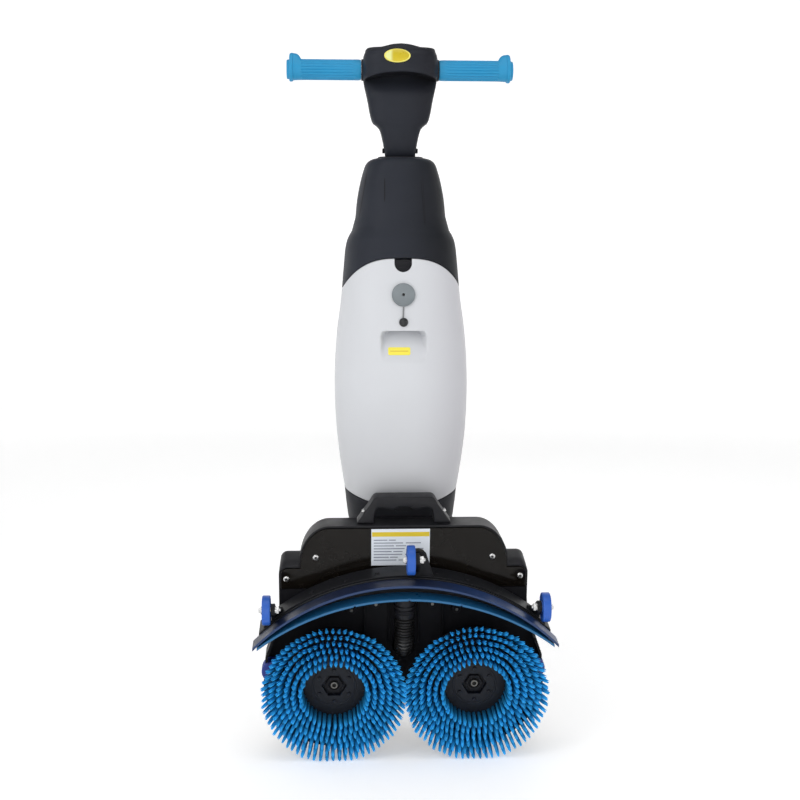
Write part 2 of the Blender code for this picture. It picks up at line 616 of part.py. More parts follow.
def make_tank(name, side, surface, neck_radius, with_latch):
    """A blow-moulded tank: hollow, with a hand recess in its face and an open neck."""
    tank = solid(name, *half_tank(side, tank_rows(0), SPINE_HALF + GAP, 0.0), surface, column_frame)
    hollow = cutter(f"{name}_hollow",
                    half_tank(side, tank_rows(WALL), SPINE_HALF + GAP + WALL, WALL), column_frame)
    half = RECESS["width"] / 2
    around = prism(recess_outline(side, WALL), -half - WALL, half + WALL, "yz")
    combine(hollow, cutter(f"{name}_recess_wall", around, column_frame))
    pocket = prism(recess_outline(side, 0.0), -half, half, "yz")
    if with_latch:
        reach = column_size(0.80)[1]
        behind = side * (reach - LATCH["depth"] - 0.005)
        wide = prism(latch_outline(WALL), *sorted((behind - side * WALL, side * 0.2)))
        combine(hollow, cutter(f"{name}_notch_wall", wide, column_frame))
    combine(tank, hollow)
    combine(tank, cutter(f"{name}_recess", pocket, column_frame))
    if with_latch:
        notch = prism(latch_outline(0.0), *sorted((behind, side * 0.2)))
        combine(tank, cutter(f"{name}_notch", notch, column_frame))
    combine(tank, cutter(f"{name}_neck", lathe([(neck_radius, -0.016), (neck_radius, 0.02)], 20),
                         column_frame, **neck_place(side)))


def latch_outline(grow):
    """The tab's outline: straight sides, a round bottom, and a top above the seam."""
    half = LATCH["width"] / 2 + grow
    low = LATCH["low"] - grow
    return [(-half, 0.84), (half, 0.84)] + arc((0, low + half), half, 0, -180, 10)


def neck_place(side):
    """Where a tank's neck meets its face, and the turn that points a lathe's z straight out of it."""
    depth = column_size(FILLER_Z)[1]
    lean = atan2(FILLER_NORMAL, 1)
    turn = ALONG_MINUS_Y[0] - lean if side < 0 else ALONG_Y[0] + lean
    return {"location": (0, side * depth, FILLER_Z), "rotation": (turn, 0, 0)}


def make_caps():
    filler = [(0, -0.0130), (0.0145, -0.0130), (0.0145, 0.0006), (0.0188, 0.0006), (0.0190, 0.0042),
              (0.0180, 0.0052), (0.0026, 0.0060), (0.0026, 0.0035), (0, 0.0035)]
    solid("filler_cap", *lathe(filler, 24), CAP_GREY, column_frame, **neck_place(-1))
    drain = [(0, -0.0130), (0.0280, -0.0130), (0.0280, 0.0014), (0.0345, 0.0014), (0.0345, 0.0065),
             (0.0330, 0.0085), (0, 0.0090)]
    solid("recovery_cap", *lathe(drain, 24), CHARCOAL, column_frame, **neck_place(1))

    # The cap's retaining strap ends in a round button on the tank's face.
    strap = []
    button_z, button_radius = 0.706, 0.0075
    for k in range(9):
        angle = pi * k / 8
        z = button_z - button_radius * cos(angle)
        radius = max(0.0004, button_radius * sin(angle))
        if z > button_z and radius < 0.00125:
            break
        strap.append((z, radius))
    strap += [(0.7140, 0.00125), (0.7230, 0.00125), (0.7318, 0.00125)]
    sections = []
    for z, radius in strap:
        face = -column_size(z)[1] - GAP
        sections.append([Vector((radius * cos(pi * k / 6), face - radius * sin(pi * k / 6), z))
                         for k in range(7)])
    solid("cap_strap", *loft(sections), CHARCOAL, column_frame)


def make_latch():
    outline = inset(latch_outline(0.0), 0.0005)
    reach = column_size(0.80)[1]
    outline = [(u, min(v, tank_arch(u, reach - 0.0200) - 0.0008)) for u, v in outline]
    solid("clean_tank_latch", *prism(outline, -reach + 0.0025, -reach + 0.0200), CHARCOAL, column_frame)


def make_spine():
    """The frame plate between the tanks, with the lug that carries the head."""
    half = [(0, 0.3108), (0.054, 0.3108), (0.064, 0.326), (0.074, 0.350), (0.085, 0.396), (0.0895, 0.4215)]
    half += [(0.0938, 0.4265)]
    half += [(0.996 * column_size(z)[0], z) for z in (0.440, 0.490, 0.541, 0.600, 0.642, 0.692, 0.743, 0.7585)]
    half += [(column_size(z)[0] - 0.0050, z) for z in (0.7615, 0.810, 0.840, 0.865, 0.880, 0.911, 0.944)]
    half += [(0.0550, 0.957), (0.0125, 0.957)]
    half += [(LUG_RADIUS, 0.962)] + arc((0, NECK_PIN_Z), LUG_RADIUS, 0, 90, 5)
    spine = solid("spine", *prism(mirrored(half), -SPINE_HALF, SPINE_HALF), WHITE, column_frame)
    combine(spine, cutter("motor_window", block((-0.0475, -0.1, 0.8300), (0.0475, 0.1, 0.9440)), column_frame))
    combine(spine, cutter("battery_window", block((-0.0700, -0.1, 0.4500), (0.0700, 0.1, 0.6300)), column_frame))
    for side in (-1, 1):
        ends = sorted((side * LUG_HALF, side * 0.1))
        combine(spine, cutter(f"lug_flat_{side + 1}", block((-0.1, ends[0], 0.9575), (0.1, ends[1], 1.1)),
                              column_frame))
    combine(spine, cutter("neck_bore", lathe([(0.0043, -0.05), (0.0043, 0.05)], 12), column_frame,
                          location=(0, 0, NECK_PIN_Z), rotation=ALONG_X))


def make_lower_shell():
    count = 28

    def ring(row, shrink):
        points = []
        for k in range(count):
            angle = 2 * pi * k / count
            p = section_point(row, angle, shrink)
            points.append(Vector((p.x, copysign(p.y, sin(angle)), p.z)))
        return points

    outer = [(level(z), column_size) for z in (0.304, 0.318, 0.350, 0.385)]
    outer.append((lambda x, y: low_seam(x, y) - GAP, column_size))
    inner = [(lambda x, y: low_seam(x, y) - GAP, column_size)]
    inner += [(level(z), column_size) for z in (0.385, 0.350, 0.318, 0.3100)]
    sections = [ring(row, WALL) for row in reversed(inner)] + [ring(row, 0) for row in reversed(outer)]
    shell = solid("column_base", *loft(sections), CHARCOAL, column_frame)
    lug = [(-0.018, 0.3065), (-0.018, ROLL_Z)] + arc((0, ROLL_Z), 0.018, 180, 360, 10)[1:] + [(0.018, 0.3065)]
    for name, low, high in (("front", -0.0380, -0.0255), ("rear", 0.0255, 0.0380)):
        combine(shell, cutter(f"{name}_lug", prism(lug, low, high), column_frame), "UNION")
    combine(shell, cutter("roll_bore", lathe([(0.0063, -0.06), (0.0063, 0.06)], 12), column_frame,
                          location=(0, 0, ROLL_Z), rotation=ALONG_Y))


def make_dome():
    shoulder = (0.961, 0.969, 0.9745, 0.9780, 0.9800)
    body = (0.820, 0.843, 0.852, 0.862, 0.877, 0.911, 0.944)
    outer = [(tank_arch, column_size)]
    outer += [(level(z), column_size) for z in body + shoulder]
    inner = [(tank_arch, column_size)]
    inner += [(level(z), column_size) for z in body]

    def lowered(drop):
        return lambda z: column_size(z + drop)

    for z, drop in zip(shoulder, (0.0008, 0.0014, 0.0019, 0.0024, 0.0026)):
        inner.append((level(z - drop), lowered(drop)))
    for name, side in (("dome_front", -1), ("dome_rear", 1)):
        solid(name, *half_shell(side, outer, inner, WALL), CHARCOAL, column_frame)
    top = solid("dome_cap_plate", *prism(squared(0.0385, 0.0300, 4, 32), 0.9803, 0.9828, "xy"),
                CHARCOAL, column_frame)
    combine(top, cutter("neck_opening", block((-0.0130, -0.0130, 0.97), (0.0130, 0.0130, 1.0)), column_frame))


def squared(half_x, half_y, power, count):
    """A closed rounded-rectangle outline."""
    points = []
    for k in range(count):
        angle = 2 * pi * k / count
        points.append((half_x * copysign(abs(cos(angle)) ** (2 / power), cos(angle)),
                       half_y * copysign(abs(sin(angle)) ** (2 / power), sin(angle))))
    return points


def make_column_contents():
    motor = [(0, 0.832), (0.0440, 0.832), (0.0440, 0.880), (0.0400, 0.884), (0.0400, 0.940), (0, 0.940)]
    solid("vacuum_motor", *lathe(motor, 20), MOTOR_METAL, column_frame)
    case = [(-0.069, 0.4505), (0.069, 0.4505), (0.069, 0.6290), (0.060, 0.6295), (-0.060, 0.6295),
            (-0.069, 0.6290)]
    solid("battery_pack", *prism(case, -SPINE_HALF + 0.0005, SPINE_HALF - 0.0005), BATTERY_GREY, column_frame)


# ---------------------------------------------------------------- cross and roll pin
def make_cross():
    lower = arc((PITCH_AXIS.y - COLUMN_Y, PITCH_AXIS.z), 0.019, 150, 390, 12)
    lower += [(PITCH_AXIS.y - COLUMN_Y + 0.012, ROLL_Z - 0.015), (PITCH_AXIS.y - COLUMN_Y - 0.020, ROLL_Z - 0.015)]
    cross = solid("cross_block", *prism(lower, -0.0335, 0.0335, "yz"), CHARCOAL, column_frame)
    barrel = arc((0, ROLL_Z), 0.0170, -30, 210, 12) + [(-0.026, ROLL_Z - 0.024), (0.026, ROLL_Z - 0.024)]
    combine(cross, cutter("roll_barrel", prism(barrel, -0.0250, 0.0250), column_frame), "UNION")
    combine(cross, cutter("cross_pitch_bore", lathe([(0.0083, -0.06), (0.0083, 0.06)], 16), column_frame,
                          location=(0, PITCH_AXIS.y - COLUMN_Y, PITCH_AXIS.z), rotation=ALONG_X))
    combine(cross, cutter("cross_roll_bore", lathe([(0.0063, -0.06), (0.0063, 0.06)], 12), column_frame,
                          location=(0, 0, ROLL_Z), rotation=ALONG_Y))
    pin = [(0, -0.0430), (0.0100, -0.0422), (0.0100, -0.0384), (0.0060, -0.0384),
           (0.0060, 0.0384), (0.0100, 0.0384), (0.0100, 0.0422), (0, 0.0430)]
    solid("roll_pin", *lathe(pin, 12), STEEL, column_frame, location=(0, 0, ROLL_Z), rotation=ALONG_Y)


# ---------------------------------------------------------------- head
def head_size(side):
    index = 1 if side < 0 else 2

    def size(z):
        row = between(HEAD_PROFILE, z)
        return row[0], row[index]
    return size


def hood_size(z):
    return between(HEAD_PROFILE, z)[0], between(HOOD_DEPTH, z)[0]


def hood_lip(rise):
    """The lower edge of the hood, arched over the middle of the face."""
    return lambda x, y: 1.1220 - 2.6 * x ** 2 + rise


def make_head():
    low = [row[0] for row in HEAD_PROFILE if row[0] < 1.11]
    high = (1.1330, 1.1488, 1.1565)
    front = [(level(z), head_size(-1)) for z in low]
    outer = front + [(hood_lip(0), head_size(-1)), (hood_lip(0.0012), hood_size)]
    outer += [(level(z), hood_size) for z in high]
    inner = front + [(hood_lip(WALL), head_size(-1)), (hood_lip(WALL + 0.0012), hood_size)]
    inner += [(level(z), hood_size) for z in high]
    rear = [(level(z), head_size(1)) for z in low + [1.1220] + list(high)]
    shells = [solid("head_front", *half_shell(-1, outer, inner, WALL, 3.6, 12), CHARCOAL, column_frame),
              solid("head_rear", *half_shell(1, rear, rear, WALL, 3.6, 12), CHARCOAL, column_frame)]
    bar_hole = lathe([(0.0115, -0.1), (0.0115, 0.1)], 16)
    pin_hole = lathe([(0.0043, -0.1), (0.0043, 0.1)], 12)
    for shell in shells:
        combine(shell, cutter(f"{shell.name}_bar_hole", bar_hole, column_frame,
                              location=(0, 0, GRIP_AXIS_Z), rotation=ALONG_X))
        combine(shell, cutter(f"{shell.name}_pin_hole", pin_hole, column_frame,
                              location=(0, 0, NECK_PIN_Z), rotation=ALONG_X))
    head_rear = shells[1]
    combine(head_rear, cutter("neck_slot", block((-0.0110, 0.0, 0.97), (0.0110, 0.1, 1.0020)), column_frame))
    pin = [(0, -0.0305), (0.0055, -0.0305), (0.0062, -0.0284), (0.0040, -0.0284),
           (0.0040, 0.0284), (0.0062, 0.0284), (0.0055, 0.0305), (0, 0.0305)]
    solid("neck_pin", *lathe(pin, 12), STEEL, column_frame, location=(0, 0, NECK_PIN_Z), rotation=ALONG_X)


def make_handlebar():
    tube = [(0.0090, -0.186), (0.0110, -0.186), (0.0110, 0.186), (0.0090, 0.186)]
    solid("handlebar", *lathe(tube, 16, ring=True), STEEL, column_frame,
          location=(0, 0, GRIP_AXIS_Z), rotation=ALONG_X)
    start, end = 0.0655, HANDLEBAR_HALF
    grip = [(0.0113, start), (0.0165, start), (0.0172, start + 0.004), (0.0172, end - 0.014),
            (0.0205, end - 0.009), (0.0200, end - 0.004), (0.0145, end - 0.002), (0.0135, end), (0, end),
            (0, end - 0.0035), (0.0113, end - 0.0035)]
    for side, turned in (("left", ALONG_MINUS_X), ("right", ALONG_X)):
        solid(f"grip_{side}", *lathe(grip, 20, ring=True), GRIP_BLUE, column_frame,
              location=(0, 0, GRIP_AXIS_Z), rotation=turned)


PANEL_LOW, PANEL_SHOULDER, PANEL_CROWN = 1.1568, 1.1622, 1.1735
BUTTON_X, BUTTON_Y, BUTTON_RADIUS = 0.0430, 0.010, 0.0065


def make_control_panel():
    rise = PANEL_CROWN - PANEL_SHOULDER
    crown = [(0.033 * (1 - k / 8), PANEL_SHOULDER + 0.0008 + rise * (0.5 - 0.5 * cos(pi * k / 8)) - 0.0008 * k / 8)
             for k in range(9)]
    half = list(reversed(crown)) + [(0.0540, PANEL_SHOULDER), (0.0585, PANEL_SHOULDER - 0.003),
                                    (0.0600, PANEL_LOW), (0, PANEL_LOW)]
    panel = solid("control_panel", *prism(mirrored(half), -0.06, 0.06), CHARCOAL, column_frame)
    plan = []
    for k in range(28):
        angle = 2 * pi * k / 28
        depth = 0.0385 if sin(angle) < 0 else 0.0275
        plan.append((0.0588 * copysign(abs(cos(angle)) ** (2 / 3.6), cos(angle)),
                     depth * copysign(abs(sin(angle)) ** (2 / 3.6), sin(angle))))
    combine(panel, cutter("panel_plan", prism(plan, 1.10, 1.20, "xy"), column_frame), "INTERSECT")
    button = [(0, -0.0015), (BUTTON_RADIUS, -0.0015), (BUTTON_RADIUS, 0.0025), (BUTTON_RADIUS - 0.001, 0.0033),
              (0, 0.0033)]
    seat = lathe([(BUTTON_RADIUS + 0.0004, -0.0034), (BUTTON_RADIUS + 0.0004, 0.02)], 16)
    for name, x in (("power", -BUTTON_X), ("water", BUTTON_X)):
        at = {"location": (x, BUTTON_Y, PANEL_SHOULDER - 0.0010)}
        combine(panel, cutter(f"{name}_seat", seat, column_frame, **at))
        solid(f"{name}_button", *lathe(button, 16), GRIP_BLUE, column_frame, **at)


make_deck_base()
make_housing()
make_underside_panel()
make_carry_handle()
make_brush_motors()
make_hose()
make_transport_gear()
make_joint_yoke()
make_brushes()
make_wall_rollers()
make_squeegee()
make_tank("clean_tank", -1, WHITE, 0.0150, True)
make_tank("recovery_tank", 1, GREY_TANK, 0.0287, False)
make_caps()
make_latch()
make_spine()
make_lower_shell()
make_dome()
make_column_contents()
make_cross()
make_head()
make_handlebar()
make_control_panel()
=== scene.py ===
"""The looks of a twin-brush floor scrubber, parked upright with its scrub deck tipped up.

Metres, +Z up. Pieces are built in one of two local frames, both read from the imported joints: the deck
frame (x across, y the height above the bristle tips, z from the brush centres towards the squeegee)
and the column frame (upright, its origin on the floor under the column's middle).
"""
import json
import random
from math import asin, atan2, copysign, cos, degrees, pi, radians, sin, sqrt

import bmesh
import bpy
from mathutils import Matrix, Vector

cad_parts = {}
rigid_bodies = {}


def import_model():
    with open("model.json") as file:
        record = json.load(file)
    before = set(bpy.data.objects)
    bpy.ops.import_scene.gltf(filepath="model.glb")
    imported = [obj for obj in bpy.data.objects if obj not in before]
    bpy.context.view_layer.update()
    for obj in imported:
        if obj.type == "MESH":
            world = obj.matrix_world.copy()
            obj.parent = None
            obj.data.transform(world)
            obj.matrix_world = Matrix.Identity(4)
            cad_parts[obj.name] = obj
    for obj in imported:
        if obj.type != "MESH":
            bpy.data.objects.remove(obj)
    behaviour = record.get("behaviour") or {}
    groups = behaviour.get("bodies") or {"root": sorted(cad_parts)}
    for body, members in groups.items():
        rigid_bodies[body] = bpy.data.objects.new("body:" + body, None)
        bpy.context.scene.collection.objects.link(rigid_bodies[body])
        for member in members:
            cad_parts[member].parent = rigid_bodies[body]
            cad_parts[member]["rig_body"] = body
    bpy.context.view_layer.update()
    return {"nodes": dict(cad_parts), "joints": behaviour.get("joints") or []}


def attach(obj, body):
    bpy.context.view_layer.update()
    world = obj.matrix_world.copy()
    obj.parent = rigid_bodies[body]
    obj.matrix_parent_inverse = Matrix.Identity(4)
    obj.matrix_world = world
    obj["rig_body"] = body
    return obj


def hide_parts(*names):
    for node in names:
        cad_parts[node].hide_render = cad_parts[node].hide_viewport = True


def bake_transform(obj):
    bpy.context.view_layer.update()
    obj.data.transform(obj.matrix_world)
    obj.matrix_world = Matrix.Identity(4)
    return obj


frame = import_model()

# ---------------------------------------------------------------- the two frames, from the joints
JOINTS = {joint["name"]: joint for joint in frame["joints"]}
BRUSH_JOINT = JOINTS["brush_spin_right"]
DECK_UP = Vector(BRUSH_JOINT["axis"])
DECK_TILT = atan2(DECK_UP.z, DECK_UP.y)
BRUSH_X = BRUSH_JOINT["pos_m"][0]
DECK = Matrix.Translation((0, *BRUSH_JOINT["pos_m"][1:])) @ Matrix.Rotation(DECK_TILT, 4, "X")
COLUMN = Matrix.Translation((0, JOINTS["head_tilt"]["pos_m"][1], 0))
NECK_PIN_Z = JOINTS["head_tilt"]["pos_m"][2]
ROLL_Z = JOINTS["column_roll"]["pos_m"][2]

# ---------------------------------------------------------------- sizes shared with the CAD part
GAP, WALL, SPINE_HALF = 0.0003, 0.003, 0.026
BASE_TOP, HOUSING_TOP = 0.096, 0.150
HUMP_REAR, HUMP_HALF, HUMP_FLAT, BLOCK_HALF = 0.256, 0.172, 0.121, 0.204
REAR_ARC, FRONT_ARC = (-0.149, 0.338), (-0.218, 0.385)
BLADE_THICKNESS, BLADE_HEIGHT, SQUEEGEE_TOP = 0.0036, 0.030, 0.082
WHEEL_RADIUS = 0.0235
ROLLER_X, ROLLER_Z = 0.214, 0.017
WHEEL_PLACES = (("left", -0.2210, 0.1430), ("centre", 0.0070, 0.2250), ("right", 0.2230, 0.1430))
GRIP_AXIS_Z, GRIP_AXIS = 1.129, COLUMN @ Matrix.Translation((0, 0, 1.129))
SECTION_POWER, HEAD_POWER = 3.0, 3.6
SEAM_GAP, SEAM_DROP = 0.0008, 0.0070
LOW_SEAM, LOW_SEAM_BOW = 0.4010, 2.9        # the base shell's upper edge: its height in front, and its curve
ARCH_FROM, ARCH_TO = 0.7575, 0.817          # the rows of points bend towards the tanks' arched top in between
HOOD_FROM, HOOD_MIDDLE = 1.1075, 1.1330     # the same for the hood's arched lip, and where the bar passes
COLUMN_PROFILE = (
    (0.304, 0.0580, 0.0500), (0.318, 0.0690, 0.0600), (0.350, 0.0830, 0.0700),
    (0.390, 0.0915, 0.0790), (0.424, 0.0950, 0.0900), (0.440, 0.0975, 0.0960),
    (0.490, 0.1050, 0.1100), (0.541, 0.1100, 0.1190), (0.600, 0.1120, 0.1240),
    (0.642, 0.1110, 0.1230), (0.692, 0.1075, 0.1190), (0.743, 0.1010, 0.1120),
    (0.768, 0.0985, 0.1080), (0.810, 0.0950, 0.1025), (0.830, 0.0930, 0.0995),
    (0.843, 0.0905, 0.0970), (0.852, 0.0868, 0.0935), (0.862, 0.0812, 0.0890),
    (0.877, 0.0765, 0.0850), (0.911, 0.0730, 0.0805), (0.944, 0.0668, 0.0745),
    (0.961, 0.0620, 0.0700), (0.969, 0.0592, 0.0670), (0.9745, 0.0550, 0.0625),
    (0.9780, 0.0490, 0.0560), (0.9800, 0.0400, 0.0460),
)
HEAD_PROFILE = (
    (0.9848, 0.0253, 0.0106, 0.0078), (0.9920, 0.0262, 0.0135, 0.0100),
    (1.0000, 0.0275, 0.0155, 0.0130), (1.0135, 0.0300, 0.0175, 0.0170),
    (1.0325, 0.0358, 0.0195, 0.0195), (1.0425, 0.0470, 0.0220, 0.0220),
    (1.0820, 0.0557, 0.0250, 0.0270), (1.1065, 0.0610, 0.0265, 0.0300),
    (1.1220, 0.0628, 0.0268, 0.0310), (1.1330, 0.0632, 0.0270, 0.0310),
    (1.1488, 0.0618, 0.0270, 0.0310), (1.1565, 0.0590, 0.0270, 0.0285),
)
HOOD_DEPTH = ((1.1220, 0.0460), (1.1330, 0.0475), (1.1488, 0.0445), (1.1565, 0.0400))
PANEL_LOW, PANEL_SHOULDER, PANEL_CROWN = 1.1568, 1.1612, 1.1668
BUTTON_X, BUTTON_Y = 0.0430, 0.010

ALONG_X = Matrix.Rotation(pi / 2, 4, "Y")
ALONG_MINUS_X = Matrix.Rotation(-pi / 2, 4, "Y")
ALONG_Y = Matrix.Rotation(-pi / 2, 4, "X")
ALONG_MINUS_Y = Matrix.Rotation(pi / 2, 4, "X")


def at(*place):
    return Matrix.Translation(place)


# ---------------------------------------------------------------- materials
def srgb(*channels):
    """A display colour, 0 to 255, as linear light."""
    linear = []
    for value in channels:
        share = value / 255
        linear.append(share / 12.92 if share <= 0.04045 else ((share + 0.055) / 1.055) ** 2.4)
    return tuple(linear)


NOISE_LOW, NOISE_HIGH = 0.30, 0.70     # the span that most of a noise texture's values fall in
RELIEF_DEPTH = 0.0002
MIX_FACTOR, MIX_BASE, MIX_OTHER, MIX_RESULT = 0, 6, 7, 2     # a colour mix node's sockets


def node_maker(material):
    """A function that adds a shader node with the given input values, and one that links sockets."""
    tree = material.node_tree

    def add(kind, **values):
        made = tree.nodes.new(f"ShaderNode{kind}")
        for name, value in values.items():
            made.inputs[name.replace("_", " ")].default_value = value
        return made
    return add, tree.links.new


def finish_of(name, colour, roughness, metallic=0.0, mottle=0.08, grain=700.0, bump=0.12, wear=0.10,
              specular=0.4):
    """A moulded or metal surface: a broad colour drift, an uneven gloss and a fine surface grain."""
    made = bpy.data.materials.new(name)
    made.use_nodes = True
    add, link = node_maker(made)
    shader = made.node_tree.nodes["Principled BSDF"].inputs
    shader["Metallic"].default_value = metallic
    shader["Specular IOR Level"].default_value = specular
    place = add("TexCoord").outputs["Object"]

    def texture(scale, detail, rough=0.55):
        noise = add("TexNoise", Scale=scale, Detail=detail, Roughness=rough)
        link(place, noise.inputs["Vector"])
        return noise.outputs["Fac"]

    tone = add("ValToRGB")
    for stop, position, factor in zip(tone.color_ramp.elements, (NOISE_LOW, NOISE_HIGH),
                                      (1 - mottle, 1 + mottle)):
        stop.position = position
        stop.color = (*(min(1.0, channel * factor) for channel in colour), 1)
    link(texture(9, 4), tone.inputs["Fac"])
    link(tone.outputs["Color"], shader["Base Color"])
    gloss = add("MapRange", From_Min=NOISE_LOW, From_Max=NOISE_HIGH, To_Min=max(0.03, roughness - wear / 2),
                To_Max=min(1.0, roughness + wear / 2))
    link(texture(38, 5, 0.65), gloss.inputs["Value"])
    link(gloss.outputs["Result"], shader["Roughness"])
    relief = add("Bump", Strength=bump, Distance=RELIEF_DEPTH)
    link(texture(grain, 2), relief.inputs["Height"])
    link(relief.outputs["Normal"], shader["Normal"])
    return made


def mixed_in(material, colour, factor, blend):
    """Mix a colour into a material's base colour. The colour and the factor are values or sockets."""
    tree = material.node_tree
    base = tree.nodes["Principled BSDF"].inputs["Base Color"]
    mix = tree.nodes.new("ShaderNodeMix")
    mix.data_type, mix.blend_type = "RGBA", blend
    for index, value in ((MIX_FACTOR, factor), (MIX_BASE, base.links[0].from_socket), (MIX_OTHER, colour)):
        if isinstance(value, bpy.types.NodeSocket):
            tree.links.new(value, mix.inputs[index])
        else:
            mix.inputs[index].default_value = value
    tree.links.new(mix.outputs[MIX_RESULT], base)
    return material


def graded(material, axis, low, high, colour, blend="MIX"):
    """Mix another colour into a material's base colour along one object axis, from low to high."""
    add, link = node_maker(material)
    split, share = add("SeparateXYZ"), add("MapRange", From_Min=low, From_Max=high)
    share.interpolation_type = "SMOOTHSTEP"
    link(add("TexCoord").outputs["Object"], split.inputs["Vector"])
    link(split.outputs[axis], share.inputs["Value"])
    return mixed_in(material, (*colour, 1), share.outputs["Result"], blend)


def painted(material, layer):
    """Multiply a material's base colour by the colours painted on the mesh's points."""
    paint = node_maker(material)[0]("VertexColor")
    paint.layer_name = layer
    return mixed_in(material, paint.outputs["Color"], 1.0, "MULTIPLY")


CHARCOAL = finish_of("charcoal_moulding", srgb(35, 36, 41), 0.55, grain=1100, bump=0.16, specular=0.22)
# The head's plastic, with painted shade: darker towards its right side, and darker under the hood's lip through
# the painted lip_shade layer.
HEAD_WITH_PAINTED_SHADE = painted(graded(finish_of("head_moulding_painted_shade", srgb(34, 37, 45), 0.55, grain=1100, bump=0.16,
                                      specular=0.20), "X", -0.010, 0.060, srgb(25, 26, 33)), "lip_shade")
# The dome's plastic, with painted shade: darker towards its right side.
DOME_WITH_PAINTED_SHADE = graded(finish_of("dome_moulding_painted_shade", srgb(38, 41, 49), 0.55, grain=1100, bump=0.14, specular=0.18),
                    "X", -0.02, 0.075, srgb(21, 23, 28))
DARK_TRIM = finish_of("dark_trim", srgb(22, 22, 26), 0.55, grain=900, bump=0.10, specular=0.18)
DECK_BLACK = finish_of("deck_moulding", srgb(27, 27, 31), 0.45, grain=800, bump=0.14, specular=0.25)
# The deck base: the deck's black plastic painted darker, as painted shade for the shaded underside.
BASE_BLACK_IN_PAINTED_SHADE = finish_of("base_moulding_painted_shade", srgb(19, 19, 23), 0.55, grain=800, bump=0.14, specular=0.15)
FRAME_BLACK = finish_of("squeegee_moulding", srgb(21, 22, 26), 0.48, grain=320, bump=0.35, specular=0.25)
PANEL_BLACK = finish_of("glossy_sheet", srgb(18, 15, 12), 0.12, mottle=0.2, grain=60, bump=0.03, wear=0.06,
                        specular=0.18)
# The white tank's plastic, with painted shade darker towards its right side; it is also multiplied darker
# towards the bottom.
TANK_WHITE_WITH_PAINTED_SHADE = graded(graded(finish_of("white_tank", srgb(202, 204, 208), 0.40, mottle=0.010, grain=260,
                                     bump=0.05, specular=0.32), "X", 0.0, 0.110, srgb(190, 190, 195)),
                    "Z", 0.640, 0.430, (0.89, 0.885, 0.88), "MULTIPLY")
TANK_GREY = finish_of("grey_tank", srgb(118, 122, 128), 0.38, mottle=0.03, grain=260, bump=0.06)
NECK_WHITE = finish_of("tank_neck", srgb(186, 187, 193), 0.4, mottle=0.02)
SPINE_GREY = finish_of("spine_moulding", srgb(176, 177, 183), 0.5, mottle=0.03)
# The filler cap's grey, with painted shade darker towards its lower side.
CAP_GREY_WITH_PAINTED_SHADE = graded(finish_of("cap_grey", srgb(124, 131, 135), 0.45, mottle=0.04, grain=800), "Y", 0.004, -0.018,
                  srgb(112, 119, 123))
STRAP_GREY = finish_of("strap_grey", srgb(120, 122, 124), 0.5)
BALL_BLACK = finish_of("strap_button", srgb(22, 24, 26), 0.30, specular=0.5)
GRIP_BLUE = finish_of("grip_rubber", srgb(34, 142, 190), 0.46, mottle=0.05, grain=500, bump=0.22, specular=0.35)
# The bristles' nylon, multiplied by each point's painted tone: a random tone per tuft and strand, and painted
# shade towards the roots.
BRISTLE = painted(finish_of("bristle_nylon", srgb(50, 180, 250), 0.46, mottle=0.05, grain=900, bump=0.2,
                            specular=0.30), "strand_tone_and_root_shade")
WHEEL_BLUE = finish_of("wheel_blue", srgb(36, 88, 178), 0.38, mottle=0.05, grain=600)
ROLLER_NAVY = finish_of("roller_rubber", srgb(34, 50, 130), 0.5)
BLADE_NAVY = graded(graded(finish_of("blade_navy", srgb(28, 54, 100), 0.36, mottle=0.10, grain=150, bump=0.06),
                           "X", 0.150, 0.020, srgb(18, 28, 54)), "Y", 0.005, 0.0, srgb(30, 54, 94))
BLADE_TEAL = graded(finish_of("blade_teal", srgb(28, 98, 148), 0.32, mottle=0.10, grain=150, bump=0.06),
                    "Y", 0.006, 0.0, srgb(38, 98, 142))
STEEL = finish_of("bright_steel", srgb(205, 205, 205), 0.26, metallic=1.0, mottle=0.06, grain=900, bump=0.08)
DULL_STEEL = finish_of("dull_steel", srgb(120, 118, 114), 0.40, metallic=1.0, mottle=0.12, grain=500)
HOSE_BLACK = finish_of("hose_rubber", srgb(28, 27, 27), 0.36, grain=600, specular=0.5)
TYRE_GREY = finish_of("tyre_rubber", srgb(58, 58, 60), 0.62, grain=420, bump=0.4)
HUB_GREY = finish_of("hub_plastic", srgb(96, 98, 102), 0.45)
PLATE_BLACK = finish_of("brush_plate", srgb(13, 17, 26), 0.50, grain=700, bump=0.18, specular=0.3)
BATTERY = finish_of("battery_case", srgb(70, 74, 78), 0.5)
MOTOR = finish_of("motor_case", srgb(150, 152, 154), 0.42, metallic=1.0)
# Near-black, for painted shade inside sockets and holes.
HOLE_SHADE = finish_of("painted_hole_shade", srgb(12, 12, 12), 0.6)
BADGE = graded(finish_of("badge_gold", srgb(198, 176, 24), 0.30, mottle=0.16, grain=420, bump=0.5,
                         specular=0.5), "X", -0.006, -0.012, srgb(222, 226, 150))
BADGE_RIM = finish_of("badge_rim", srgb(236, 226, 110), 0.28, specular=0.5)
LABEL_PAPER = finish_of("label_paper", srgb(226, 232, 240), 0.55, mottle=0.02, grain=500, bump=0.04)
LABEL_YELLOW = finish_of("label_yellow", srgb(222, 196, 52), 0.5, mottle=0.04)
LABEL_INK = finish_of("label_ink", srgb(136, 142, 156), 0.6, mottle=0.10)
STICKER = finish_of("sticker_yellow", srgb(242, 228, 80), 0.45, mottle=0.03, grain=300, bump=0.04)
STICKER_INK = finish_of("sticker_ink", srgb(206, 160, 60), 0.5)


# ---------------------------------------------------------------- mesh tools
def within(value, low=0.0, high=1.0):
    return min(high, max(low, value))


def eased(share):
    """A smooth step from 0 to 1."""
    return share * share * (3 - 2 * share)


